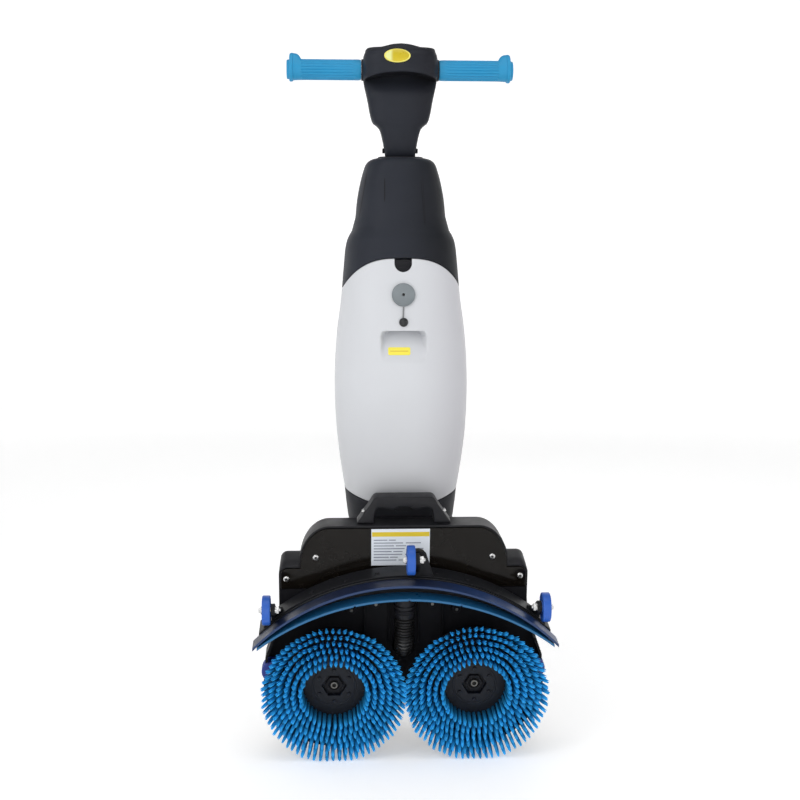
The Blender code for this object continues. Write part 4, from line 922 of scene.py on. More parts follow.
def bow(inner, outer, low, high, half, steps=96, ease=0.0):
    """A curved bar between two arcs, from low to high, out to the half width, its corners eased."""
    sections = []
    for k in range(steps + 1):
        x = half * sin(pi / 2 * (2 * k / steps - 1))
        near, far = arc_point(inner, x), arc_point(outer, x)
        if ease:
            corners = [(low, near + ease), (low + ease, near), (high - ease, near), (high, near + ease),
                       (high, far - ease), (high - ease, far), (low + ease, far), (low, far - ease)]
        else:
            corners = [(low, near), (high, near), (high, far), (low, far)]
        sections.append([Vector((x, y, z)) for y, z in corners])
    return loft(sections)


def make_squeegee():
    half = BLADE_THICKNESS / 2
    notch = [block((x - 0.0016, -0.002, 0.05), (x + 0.0016, 0.0035, 0.30)) for x in (-0.082, 0.004, 0.086)]
    for name, ring, reach, surface, cuts, slot in (
            ("rear_blade", REAR_ARC, 0.243, BLADE_NAVY, (), "blade_navy_rubber"),
            ("front_blade", FRONT_ARC, 0.236, BLADE_TEAL, notch, "blade_teal_rubber")):
        piece(f"{name}_fine", bow(grown(ring, -half), grown(ring, half), 0, BLADE_HEIGHT, reach, ease=0.0004),
              surface, DECK, "squeegee", (name,), cuts=cuts, sharp=30, slot=slot)
    strip = REAR_ARC[1] - half - 0.0008
    ring = (REAR_ARC[0], strip - 0.0016)
    piece("blade_clamp_fine", bow(ring, (REAR_ARC[0], strip), 0.012, BLADE_HEIGHT, 0.205), DULL_STEEL, DECK,
          "squeegee", ("blade_clamp",), sharp=30)
    head = [(0, -0.0002), (0.0040, -0.0002), (0.0040, 0.0006), (0.0032, 0.0020), (0.0015, 0.0025), (0, 0.0025)]
    flip = Matrix.Rotation(pi, 4, "X")
    for k in range(9):
        x = -0.180 + 0.045 * k
        lean = Matrix.Rotation(asin(x / ring[1]), 4, "Y")
        piece(f"clamp_screw_{k}", turned(head, 24), STEEL,
              DECK @ at(x, 0.021, arc_point(ring, x)) @ lean @ flip,
              "squeegee", sharp=40)

    # The frame: the main bar, a stepped rim along its rear edge and the wheel ears.
    inner, outer = grown(FRONT_ARC, -0.006), grown(REAR_ARC, 0.004)
    adds, cuts = [], []
    for name, x, z in WHEEL_PLACES:
        inward = 1 if x < 0.1 else -1
        near = x + inward * (0.0065 + GAP + 0.0007)
        far = near + inward * 0.006
        root = arc_point(outer, near)
        plate = [(SQUEEGEE_TOP - 0.010, root - 0.010), (SQUEEGEE_TOP - 0.010, root + 0.006)]
        plate += arc((WHEEL_RADIUS, z), 0.0105, 50, 215, 20)
        plate += [(BLADE_HEIGHT + 0.005, root + 0.007), (BLADE_HEIGHT + 0.006, root - 0.010)]
        adds.append(prism(plate, min(near, far), max(near, far), "yz"))
        if name == "centre":
            gusset = [(near, root - 0.006), (near, z + 0.0088), (near + 0.0060, z + 0.0100),
                      (near + 0.0125, z + 0.0080), (near + 0.0180, z + 0.0020), (near + 0.0300, root - 0.0020),
                      (near + 0.0300, root - 0.006)]
            adds.append(prism(gusset, 0.0365, 0.0500))
        else:
            web = [(SQUEEGEE_TOP - 0.012, root - 0.004), (SQUEEGEE_TOP - 0.012, root + 0.010),
                   (BLADE_HEIGHT + 0.016, root + 0.020), (BLADE_HEIGHT + 0.016, root - 0.004)]
            beyond = far + inward * 0.010
            adds.append(prism(web, min(near, beyond), max(near, beyond), "yz"))
        cuts.append(shifted(turned([(0.0043, -0.03), (0.0043, 0.03)], 24), at(near, WHEEL_RADIUS, z) @ ALONG_X))
    piece("squeegee_frame_fine", bow(inner, outer, BLADE_HEIGHT + GAP, SQUEEGEE_TOP, 0.234, ease=0.0012),
          FRAME_BLACK, DECK, "squeegee", ("squeegee_frame",), adds=adds, cuts=cuts, sharp=28,
          slot="deck_black_plastic")
    lip = bow(grown(REAR_ARC, 0.0042), grown(REAR_ARC, 0.0062), BLADE_HEIGHT + 0.0040, BLADE_HEIGHT + 0.0090,
              0.226, ease=0.0006)
    piece("squeegee_rear_lip", lip, FRAME_BLACK, DECK, "squeegee", sharp=28)
    head = [(0, -0.001), (0.0038, -0.001), (0.0038, 0.0006), (0.0030, 0.0016), (0, 0.0019)]
    for k, x in enumerate((-0.150, -0.095, -0.045, 0.050, 0.100, 0.152)):
        lean = Matrix.Rotation(asin(x / outer[1]), 4, "Y")
        piece(f"frame_screw_{k}", turned(head, 24), DARK_TRIM, DECK @ at(x, 0.056, arc_point(outer, x)) @ lean,
              "squeegee", sharp=40)

    port = [(0.0125, 0.1125), (0.0155, 0.1122), (0.0160, 0.1128), (0.0160, 0.1180), (0.0166, 0.1186),
            (0.0166, 0.1204), (0.0160, 0.1210), (0.0160, 0.1280), (0.0176, 0.1286), (0.0180, 0.1294),
            (0.0180, 0.1326), (0.0176, 0.1334), (0.0160, 0.1340), (0.0160, 0.1597), (0.0125, 0.1597)]
    piece("suction_port_fine", turned(port, 56, ring=True), DECK_BLACK, DECK @ at(0, 0.064, 0), "squeegee",
          ("suction_port",), sharp=35)
    clip = [(0.0161, 0.1215), (0.0172, 0.1215), (0.0172, 0.1270), (0.0161, 0.1270)]
    piece("hose_clip", turned(clip, 56, ring=True), DARK_TRIM, DECK @ at(0, 0.064, 0), "squeegee", sharp=35)


def make_squeegee_wheels():
    half = 0.0065
    rim = [(WHEEL_RADIUS - 0.0009, -half + 0.0002), (WHEEL_RADIUS - 0.0002, -half + 0.0010),
           (WHEEL_RADIUS, -half + 0.0022)]
    wheel = [(0.0044, -half), (0.0085, -half), (0.0090, -half + 0.0012), (0.0195, -half + 0.0012),
             (0.0200, -half)] + rim
    for name, x, z in WHEEL_PLACES:
        place = DECK @ at(x, WHEEL_RADIUS, z) @ (ALONG_X if x < 0.1 else ALONG_MINUS_X)
        piece(f"squeegee_wheel_{name}_fine", turned(doubled(wheel), 72, ring=True), WHEEL_BLUE, place,
              f"squeegee_wheel_{name[0]}", (f"squeegee_wheel_{name}",), sharp=35, slot="wheel_blue_plastic")
        bolt = [(0, -0.0125), (0.0040, -0.0125, "hex"), (0.0046, -0.0119, "hex"), (0.0046, -0.0088, "hex"),
                (0.0062, -0.0087), (0.0062, -0.0071), (0.0039, -0.0070), (0.0039, 0.0139), (0.0068, 0.0140),
                (0.0068, 0.0150), (0.0058, 0.0152), (0.0058, 0.0160), (0.0064, 0.0161, "hex"),
                (0.0064, 0.0196, "hex"), (0.0058, 0.0202, "hex"), (0.0030, 0.0203), (0.0029, 0.0222),
                (0.0024, 0.0226), (0, 0.0226)]
        piece(f"wheel_bolt_{name}_fine", turned(bolt, 48), STEEL, place, "squeegee", (f"wheel_bolt_{name}",),
              sharp=26, slot="stainless_steel")


# ---------------------------------------------------------------- column
def tank_arch(x, y):
    """The seam between the tanks and the dome, which falls towards the spine."""
    front = 0.1025
    slope = within((front - abs(y)) / (front - SPINE_HALF))
    return 0.812 - 0.0405 * abs(x / 0.0983) ** 3 - SEAM_DROP * slope


def low_seam(x, y):
    """The seam between the column's base shell and the tanks."""
    return LOW_SEAM + LOW_SEAM_BOW * x ** 2


def level(z):
    return lambda x, y: z


def section_row(row, back=0.0, front=81, side=14, power=SECTION_POWER):
    """A row of points on a rounded-square half section, evenly spread over its face.
    The row gives z from x and y, the half sizes from z, and how far the skin is drawn in."""
    height_at, size_at, shrink = row
    corner = 0.80
    rise = (1 - corner ** power) ** (1 / power)
    points = []
    for k in range(2 * side + front):
        z = height_at(0, 0.05)
        for _ in range(6):
            width, depth = size_at(z)
            width, depth = width - shrink, depth - shrink
            start = min(back / depth, 0.95 * rise)
            if k < side or k >= side + front:
                step = k if k < side else 2 * side + front - 1 - k
                share_y = start + (rise - start) * step / side
                share_x = (1 - share_y ** power) ** (1 / power)
            else:
                step = k - side
                share_x = abs(corner * (1 - 2 * step / (front - 1)))
                share_y = (1 - share_x ** power) ** (1 / power)
            sign = 1 if k < side + front / 2 else -1
            x, y = sign * width * share_x, depth * share_y
            z = height_at(x, y)
        points.append(Vector((x, y, z)))
    return points


RECESS_HALF, RECESS_LOW, RECESS_HIGH, RECESS_DEPTH = 0.036, 0.6430, 0.6940, 0.0250


def scoop(point):
    """How deep the hand recess is at a point of the tank's face."""
    down = (RECESS_HIGH - point.z) / (RECESS_HIGH - RECESS_LOW)
    if not 0.0 <= down <= 1.0:
        return 0.0
    corner = 0.0100
    near_top = max(0.0, corner - (RECESS_HIGH - point.z))
    half = RECESS_HALF - corner + sqrt(corner ** 2 - near_top ** 2)
    edge = (half + 0.0025 - abs(point.x)) / 0.0085
    return RECESS_DEPTH * (1 - down) ** 1.35 * eased(within(edge))


def tank_shape(side):
    """A tank as a solid with a fine skin, from its curved face to its flat back."""
    back = SPINE_HALF + GAP
    rows = []
    for lift, shrink in ((0.0, 0.0016), (0.0004, 0.0008), (0.0012, 0.0001), (0.003, 0.0), (0.008, 0.0),
                         (0.014, 0.0)):
        rows.append((lambda x, y, lift=lift:
                     low_seam(x, y) + GAP + lift * (1 - (low_seam(x, y) - LOW_SEAM) / 0.03),
                     column_size, shrink))
    heights = [0.432 + 0.0065 * k for k in range(32)]
    heights += [0.6400 + 0.0022 * k for k in range(24)]
    heights += [RECESS_HIGH - 0.0004, RECESS_HIGH + 0.0002]
    heights += [0.6985 + 0.0065 * k for k in range(9)]
    rows += [(level(z), column_size, 0.0) for z in heights]
    for share, shrink in ((0.15, 0.0), (0.4, 0.0), (0.65, 0.0), (0.82, 0.0), (0.93, 0.0), (0.97, 0.0001),
                          (0.99, 0.0007), (1.0, 0.0016)):
        rows.append((lambda x, y, share=share:
                     ARCH_FROM + (tank_arch(x, y) - SEAM_GAP - ARCH_FROM) * share, column_size, shrink))
    skin = [section_row(row, back) for row in rows]
    skin = [[Vector((p.x, side * (p.y - scoop(p)), p.z)) for p in line] for line in skin]
    for line in skin:
        for p in (line[0], line[-1]):
            p.y = side * back
    verts, faces = grid(skin)
    count = len(skin[0])
    edges = []
    for j in (0, len(rows) - 1):
        first = j * count
        behind = [first]
        for k in range(1, count - 1):
            p = verts[first + k]
            behind.append(len(verts))
            verts.append(Vector((p.x, side * back, rows[j][0](p.x, back))))
        behind.append(first + count - 1)
        for k in range(count - 1):
            corners = (first + k, first + k + 1, behind[k + 1], behind[k])
            faces.append(tuple(dict.fromkeys(corners)))
        edges.append(behind)
    left = [j * count + count - 1 for j in range(1, len(rows) - 1)]
    right = [j * count for j in range(1, len(rows) - 1)]
    faces.append(tuple(edges[0] + left + edges[1][::-1] + right[::-1]))
    return verts, faces


FILLER_Z, FILLER_LEAN = 0.752, atan2(0.158, 1)     # the lean is the face's slope there


def neck_place(side):
    """Where a tank's neck meets its face, with z pointing straight out of it."""
    depth = column_size(FILLER_Z)[1]
    turn = (pi / 2 - FILLER_LEAN) if side < 0 else (FILLER_LEAN - pi / 2)
    return at(0, side * depth, FILLER_Z) @ Matrix.Rotation(turn, 4, "X")


LATCH_HALF, LATCH_LOW = 0.01425, 0.7890


def latch_outline(grow):
    half, low = LATCH_HALF + grow, LATCH_LOW - grow
    return [(-half, 0.84), (half, 0.84)] + arc((0, low + half), half, 0, -180, 40)


def make_tanks():
    reach = column_size(0.80)[1]
    # The clean tank's white carries painted shade on its right side.
    for name, side, surface, radius, body in (("clean_tank", -1, TANK_WHITE_WITH_PAINTED_SHADE, 0.0152, "clean_water"),
                                              ("recovery_tank", 1, TANK_GREY, 0.0287, "dirty_water")):
        place = neck_place(side)
        cuts = [shifted(turned([(radius, -0.045), (radius, 0.02)], 64), place)]
        if side < 0:
            cuts.append(prism(latch_outline(0.0), *sorted((side * (reach - 0.027), side * 0.2))))
        slot = "white_tank_plastic" if side < 0 else "grey_tank_plastic"
        piece(f"{name}_fine", tank_shape(side), surface, COLUMN, body, (name,), cuts=cuts, sharp=42, slot=slot)
        collar = [(radius - 0.0002, -0.0130), (radius + 0.0020, -0.0050), (radius + 0.0020, 0.0003),
                  (radius + 0.0014, 0.0005), (radius - 0.0001, 0.0004)]
        piece(f"{name}_neck_ring", turned(collar, 64, ring=True), NECK_WHITE if side < 0 else TANK_GREY,
              COLUMN @ place, body, sharp=40)


def make_caps():
    filler = [(0, -0.0130), (0.0138, -0.0130), (0.0144, -0.0122), (0.0145, 0.0006), (0.0184, 0.0006),
              (0.0189, 0.0010), (0.0190, 0.0030), (0.0188, 0.0038), (0.0182, 0.0043), (0.0172, 0.0045),
              (0.0168, 0.0041), (0.0150, 0.0043), (0.0060, 0.0050), (0.0030, 0.0051), (0.0025, 0.0048),
              (0.0022, 0.0020), (0, 0.0020)]
    # The filler cap carries painted shade on its lower side.
    piece("filler_cap_fine", turned(filler, 96), CAP_GREY_WITH_PAINTED_SHADE, COLUMN @ neck_place(-1), "fill_cap",
          ("filler_cap",), sharp=35, slot="cap_grey_plastic")
    # A near-black plug in the cap's middle hole, painted shade for the hole.
    hole = [(0, 0.0019), (0.00215, 0.0019), (0.00215, 0.0047), (0, 0.0047)]
    piece("filler_cap_hole_shade", turned(hole, 24), HOLE_SHADE, COLUMN @ neck_place(-1), "fill_cap")
    drain = [(0, -0.0130), (0.0273, -0.0130), (0.0280, -0.0122), (0.0280, 0.0014), (0.0339, 0.0014),
             (0.0345, 0.0020), (0.0345, 0.0060), (0.0338, 0.0072), (0.0324, 0.0078), (0.0262, 0.0080),
             (0.0252, 0.0072), (0.0130, 0.0072), (0.0124, 0.0080), (0, 0.0082)]
    piece("recovery_cap_fine", turned(drain, 120), CHARCOAL, COLUMN @ neck_place(1), "drain_cap",
          ("recovery_cap",), sharp=35)
    bar = block((-0.0040, -0.0240, 0.0070), (0.0040, 0.0240, 0.0105))
    piece("recovery_cap_bar", bar, CHARCOAL, COLUMN @ neck_place(1), "drain_cap", bevel=0.0012)

    # The retaining strap and its round button.
    button_z, radius = 0.7080, 0.0074
    face = -column_size(button_z)[1]
    ball = [(0.0, -0.0010), (radius * 0.72, -0.0010)]
    ball += [(radius * cos(radians(a)), 0.0006 + radius * 0.80 * sin(radians(a))) for a in range(0, 90, 9)]
    ball.append((0, 0.0006 + radius * 0.80))
    piece("strap_ball", turned(ball, 48), BALL_BLACK, COLUMN @ at(0, face, button_z) @ ALONG_MINUS_Y,
          "clean_water", ("cap_strap",), sharp=50)
    sections = []
    for k in range(17):
        z = button_z + 0.0050 + 0.0198 * k / 16
        sag = 0.0006 * sin(pi * k / 16)
        middle = Vector((-0.0010 + 0.0010 * k / 16, -column_size(z)[1] - 0.0011 - sag, z))
        sections.append([middle + Vector((0.00115 * cos(turn), 0.0010 * sin(turn), 0))
                         for turn in round_angles(16)])
    piece("strap_line", loft(sections), STRAP_GREY, COLUMN, "clean_water", sharp=60)


def make_latch():
    reach = column_size(0.80)[1]
    outline = [(u, min(v, tank_arch(u, reach - 0.0200) - 0.0008)) for u, v in latch_outline(-0.0005)]
    tab = prism(outline, -reach + 0.0022, -reach + 0.0200)
    piece("clean_tank_latch_fine", tab, DARK_TRIM, COLUMN, "tank_latch", ("clean_tank_latch",), bevel=0.0009,
          sharp=50)
    rib = block((-0.00744, -reach + 0.0016, LATCH_LOW + 0.0075), (0.00744, -reach + 0.004, LATCH_LOW + 0.0091))
    piece("latch_rib", rib, DARK_TRIM, COLUMN, "tank_latch", bevel=0.0005)


def face_of(x, z, lift=0.0):
    """A point on the column's front face."""
    width, depth = column_size(z)
    share = min(0.999, abs(x) / width)
    return Vector((x, -(depth * (1 - share ** SECTION_POWER) ** (1 / SECTION_POWER)) - lift, z))


def inlay(name, path, width, surface, body, lift=0.0005):
    """A thin strip that lies on the column's face along a path of (x, z) points."""
    rows = []
    steps = 24
    for side in (-0.5, 0.5):
        row = []
        for k in range(steps + 1):
            share = k / steps
            taper = min(1.0, 6 * share, 6 * (1 - share)) ** 0.5
            x = path[0][0] + (path[1][0] - path[0][0]) * share + side * width * taper
            z = path[0][1] + (path[1][1] - path[0][1]) * share
            row.append(face_of(x, z, lift))
        rows.append(row)
    piece(name, grid(rows), surface, COLUMN, body, sharp=80)


def make_dome():
    front_rows = []
    for lift, shrink in ((0.0, 0.0016), (0.0005, 0.0007), (0.0014, 0.0001), (0.003, 0.0)):
        front_rows.append((lambda x, y, lift=lift: tank_arch(x, y) + lift, column_size, shrink))
    for share in (0.15, 0.35, 0.55, 0.78):
        front_rows.append((lambda x, y, share=share:
                           tank_arch(x, y) + 0.003 + (ARCH_TO - tank_arch(x, y)) * share, column_size, 0.0))
    heights = [0.8215 + 0.0045 * k for k in range(5)] + [0.8425 + 0.0028 * k for k in range(14)]
    heights += [0.884 + 0.006 * k for k in range(12)] + [0.955 + 0.0025 * k for k in range(6)]
    heights += [0.9695 + 0.0012 * k for k in range(9)] + [0.9800]
    front_rows += [(level(z), column_size, 0.0) for z in heights]
    inner = [(tank_arch, column_size, WALL),
             (lambda x, y: tank_arch(x, y) + 0.020, column_size, WALL), (level(0.850), column_size, WALL),
             (level(0.900), column_size, WALL), (level(0.950), column_size, WALL)]
    for name, side in (("front", -1), ("rear", 1)):
        lines = [section_row(row, front=61) for row in inner[::-1] + front_rows]
        shape = grid([[Vector((p.x, side * (p.y + GAP / 2), p.z)) for p in line] for line in lines])
        # The dome's shells carry painted shade on their right side.
        piece(f"dome_{name}_fine", shape, DOME_WITH_PAINTED_SHADE, COLUMN, "column", (f"dome_{name}",), sharp=38)
    # Thin dark strips on the dome's face: painted shade for its shallow grooves and for its rounded side edges.
    inlay("dome_groove_shade_left", ((-0.0290, 0.9430), (-0.0292, 0.9030)), 0.0017, DARK_TRIM, "column")
    inlay("dome_groove_shade_inner", ((0.0305, 0.9420), (0.0365, 0.8620)), 0.0009, DARK_TRIM, "column")
    inlay("dome_groove_shade_outer", ((0.0335, 0.9440), (0.0378, 0.8640)), 0.0007, DARK_TRIM, "column")
    for name, sign in (("left", -1), ("right", 1)):
        inlay(f"dome_side_edge_shade_{name}", ((sign * 0.0560, 0.9600), (sign * 0.0706, 0.8780)), 0.0013, DARK_TRIM,
              "column")

    def ring(half_x, half_y, z):
        return [Vector((half_x * squared(cos(angle), 0.5), half_y * squared(sin(angle), 0.5), z))
                for angle in round_angles(96)]
    plate = [ring(0.0385, 0.0300, 0.9803), ring(0.0385, 0.0300, 0.9818), ring(0.0378, 0.0293, 0.9828),
             ring(0.0150, 0.0150, 0.9828), ring(0.0130, 0.0130, 0.9822), ring(0.0130, 0.0130, 0.9803)]
    piece("dome_cap_plate_fine", loft(plate, ring=True), DARK_TRIM, COLUMN, "column", ("dome_cap_plate",),
          sharp=40)


def make_spine():
    heights = [0.440 + 0.0106 * k for k in range(31)]
    half = [(0, 0.3108), (0.054, 0.3108), (0.064, 0.326), (0.074, 0.350), (0.085, 0.399), (0.0895, 0.4245)]
    half += [(0.0938, 0.4295)] + [(0.996 * column_size(z)[0], z) for z in heights]
    half += [(column_size(z)[0] - 0.0050, z) for z in (0.7615, 0.810, 0.840, 0.865, 0.880, 0.911, 0.944)]
    half += [(0.0550, 0.957), (0.0125, 0.957), (0.0085, 0.962)] + arc((0, NECK_PIN_Z), 0.0085, 0, 90, 12)
    cuts = [block((-0.0475, -0.1, 0.8300), (0.0475, 0.1, 0.9440)),
            block((-0.0700, -0.1, 0.4500), (0.0700, 0.1, 0.6300))]
    for side in (-1, 1):
        ends = sorted((side * 0.0050, side * 0.1))
        cuts.append(block((-0.1, ends[0], 0.9575), (0.1, ends[1], 1.1)))
    piece("spine_fine", prism(mirrored(half), -SPINE_HALF, SPINE_HALF), SPINE_GREY, COLUMN, "column",
          ("spine",), cuts=cuts, bevel=0.0010, sharp=40)
    frame["nodes"]["battery_pack"].data.materials[0] = BATTERY
    motor = [(0, 0.832), (0.0425, 0.832), (0.0440, 0.8335), (0.0440, 0.8785), (0.0430, 0.880), (0.0405, 0.8835),
             (0.0400, 0.886), (0.0400, 0.9385), (0.0385, 0.940), (0, 0.940)]
    piece("vacuum_motor_fine", turned(motor, 56), MOTOR, COLUMN, "column", ("vacuum_motor",), sharp=35)


def make_lower_shell():
    def ring(height_at, shrink):
        points = []
        for angle in round_angles(132):
            across, along = squared(cos(angle), 2 / SECTION_POWER), squared(sin(angle), 2 / SECTION_POWER)
            z = height_at(0, 0)
            for _ in range(6):
                width, depth = column_size(z)
                x, y = (width - shrink) * across, (depth - shrink) * along
                z = height_at(x, y)
            points.append(Vector((x, y, z)))
        return points

    def under_seam(drop):
        return lambda x, y: low_seam(x, y) - GAP - drop

    outer = [(level(0.304), 0.0018), (level(0.3046), 0.0006), (level(0.3060), 0.0)]
    outer += [(level(0.3095 + 0.0065 * k), 0.0) for k in range(12)]
    outer += [(lambda x, y: 0.385 + (low_seam(x, y) - GAP - 0.385) * 0.5, 0.0), (under_seam(0.0016), 0.0),
              (under_seam(0.0006), 0.0004), (under_seam(0.0), 0.0012)]
    inner = [(under_seam(0.0), WALL), (level(0.385), WALL), (level(0.350), WALL), (level(0.318), WALL),
             (level(0.3100), WALL)]
    sections = [ring(*row) for row in inner[::-1] + outer[::-1]]
    lug = [(-0.018, 0.3065), (-0.018, ROLL_Z)] + arc((0, ROLL_Z), 0.018, 180, 360, 28)[1:] + [(0.018, 0.3065)]
    adds = [prism(lug, low, high) for low, high in ((-0.0380, -0.0255), (0.0255, 0.0380))]
    bore = shifted(turned([(0.0063, -0.06), (0.0063, 0.06)], 32), at(0, 0, ROLL_Z) @ ALONG_Y)
    piece("column_base_fine", loft(sections), CHARCOAL, COLUMN, "column", ("column_base",), adds=adds,
          cuts=[bore], sharp=35, slot="charcoal_plastic")


# ---------------------------------------------------------------- head
def head_size(side):
    """The half sizes, from z, of the head's front (-1) or rear (1) shell."""
    index = 1 if side < 0 else 2

    def size(z):
        row = head_row(z)
        return row[0], row[index]
    return size


def face_size(z):
    """The head's front face, which falls back a little under the hood."""
    width, depth = head_size(-1)(z)
    return width, depth - 0.0165 * eased(within((z - 1.082) / 0.036))


def hood_size(z):
    return head_row(z)[0], hood_depth(z)[0]


LIP_HEIGHT, LIP_BOW = 1.1195, 2.6
# Painted shade under the hood's lip: LIP_SHADE is its strength, LIP_FADE the height over which half of it
# fades.
LIP_SHADE, LIP_FADE = 0.62, 0.009     # how dark the face is under the lip, and over what height half of it goes


def hood_lip(rise):
    """The lower edge of the hood, arched across the head's face."""
    return lambda x, y: LIP_HEIGHT - LIP_BOW * x ** 2 + rise


def shade_under_lip(made):
    """Paint shade on the head just below the hood's lip, where the hood's shadow falls."""
    paint = made.data.color_attributes.new("lip_shade", "FLOAT_COLOR", "POINT")
    for point, spot in zip(made.data.vertices, paint.data):
        x, y, z = point.co
        below = hood_lip(0)(x, y) - z
        tone = 1.0 if below < -0.0001 or y > 0 else 1.0 - LIP_SHADE * 0.5 ** (max(0.0, below) / LIP_FADE)
        spot.color = (tone, tone, tone, 1.0)


def make_head():
    low = [0.9848, 0.9855, 0.9870, 0.9920, 0.9960] + [1.0000 + 0.0045 * k for k in range(24)] + [HOOD_FROM]
    front = [(level(z), face_size, 0.0014 if z < 0.985 else 0.0005 if z < 0.986 else 0.0) for z in low]
    front += [(lambda x, y, share=share: HOOD_FROM + (hood_lip(0)(x, y) - HOOD_FROM) * share, face_size, 0.0)
              for share in (0.5, 1.0)]
    front += [(hood_lip(0.0), hood_size, 0.0026), (hood_lip(0.0003), hood_size, 0.0012),
              (hood_lip(0.0012), hood_size, 0.0004), (hood_lip(0.0026), hood_size, 0.0)]
    front += [(lambda x, y, share=share:
               hood_lip(0.0026)(x, y) + (HOOD_MIDDLE - hood_lip(0.0026)(x, y)) * share, hood_size, 0.0)
              for share in (0.35, 0.7)]
    top = [1.1326, HOOD_MIDDLE, 1.1334] + [1.1350 + 0.0022 * k for k in range(9)]
    front += [(level(z), hood_size, 0.0) for z in top]
    front += [(level(1.1560), hood_size, 0.0), (level(1.1564), hood_size, 0.0003),
              (level(1.1565), hood_size, 0.0010)]
    rear_heights = low + [1.1120 + 0.0040 * k for k in range(11)]
    rear = [(level(z), head_size(1), 0.0014 if z < 0.985 else 0.0) for z in rear_heights]
    rear += [(level(1.1552), head_size(1), 0.0006), (level(1.1565), head_size(1), 0.0030)]
    bar_hole = shifted(turned([(0.0115, -0.1), (0.0115, 0.1)], 40), at(0, 0, GRIP_AXIS_Z) @ ALONG_X)
    for name, side, rows in (("front", -1, front), ("rear", 1, rear)):
        lines = [section_row(row, front=49, side=18, power=HEAD_POWER) for row in rows]
        outer = [[Vector((p.x, side * (p.y + GAP / 2), p.z)) for p in line] for line in lines]
        # Close the shell into a solid with a flat back, so that the bar's hole can be cut through it.
        verts, faces = grid(outer)
        count, levels = len(outer[0]), len(outer)
        rim = [j * count for j in range(levels)] + [(levels - 1) * count + k for k in range(1, count)]
        rim += [j * count + count - 1 for j in range(levels - 2, -1, -1)] + list(range(count - 2, 0, -1))
        inner_start = len(verts)
        for index in rim:
            p = verts[index]
            verts.append(Vector((p.x * 0.93, side * GAP / 2, p.z)))
        for k in range(len(rim)):
            n = (k + 1) % len(rim)
            faces.append((rim[k], rim[n], inner_start + n, inner_start + k))
        faces.append(tuple(inner_start + k for k in range(len(rim))))
        # The head's shells carry painted shade on their right side and under the hood's lip.
        made = piece(f"head_{name}_fine", (verts, faces), HEAD_WITH_PAINTED_SHADE, COLUMN, "head", (f"head_{name}",),
                     cuts=[bar_hole], sharp=30, slot="charcoal_plastic")
        shade_under_lip(made)
    pin = [(0, -0.0300), (0.0030, -0.0300), (0.0042, -0.0294), (0.0046, -0.0282), (0.0040, -0.0280),
           (0.0040, 0.0280), (0.0046, 0.0282), (0.0042, 0.0294), (0.0030, 0.0300), (0, 0.0300)]
    piece("neck_pin_fine", turned(pin, 32), DARK_TRIM, COLUMN @ at(0, 0, NECK_PIN_Z) @ ALONG_X, "head",
          ("neck_pin",), sharp=35)
    # A thin dark strip where the head meets the dome plate.
    strip_outline = [(u * 0.0210, v * 0.0026) for u, v in arc((0, 0), 1.0, 0, 352, 44)]
    piece("neck_dark_strip", prism(strip_outline, 0.9824, 0.9838, "xy"), DARK_TRIM, COLUMN, "column")
    collar = [(0.0113, 0.0610), (0.0172, 0.0610), (0.0178, 0.0616), (0.0178, 0.0644), (0.0172, 0.0650),
              (0.0113, 0.0650)]
    for name, turn in (("left", ALONG_MINUS_X), ("right", ALONG_X)):
        piece(f"grip_collar_{name}", turned(collar, 56, ring=True), CHARCOAL,
              GRIP_AXIS @ turn, "head", sharp=40)


def make_badge():
    """A plain domed oval plate with a pale rim, leaning back with the hood."""
    half_x, half_y, lean = 0.0218, 0.0116, 12
    place = COLUMN @ at(-0.0066, -0.0458, 1.1450) @ Matrix.Rotation(radians(90 - lean), 4, "X")

    def oval(scale, height):
        return [Vector((half_x * scale * cos(angle), half_y * scale * sin(angle), height))
                for angle in round_angles(72)]
    rim = [oval(0.80, -0.0040), oval(0.99, -0.0030), oval(1.0, 0.0008), oval(0.985, 0.0014), oval(0.95, 0.0018),
           oval(0.90, 0.0016), oval(0.88, 0.0008), oval(0.80, 0.0)]
    piece("badge_rim", loft(rim, ring=True), BADGE_RIM, place, "head", sharp=40)
    face = [oval(0.885, 0.0004), oval(0.885, 0.0010), oval(0.80, 0.0014), oval(0.55, 0.0019),
            oval(0.25, 0.0021), oval(0.02, 0.0021)]
    piece("badge_face", loft(face), BADGE, place, "head", sharp=60)


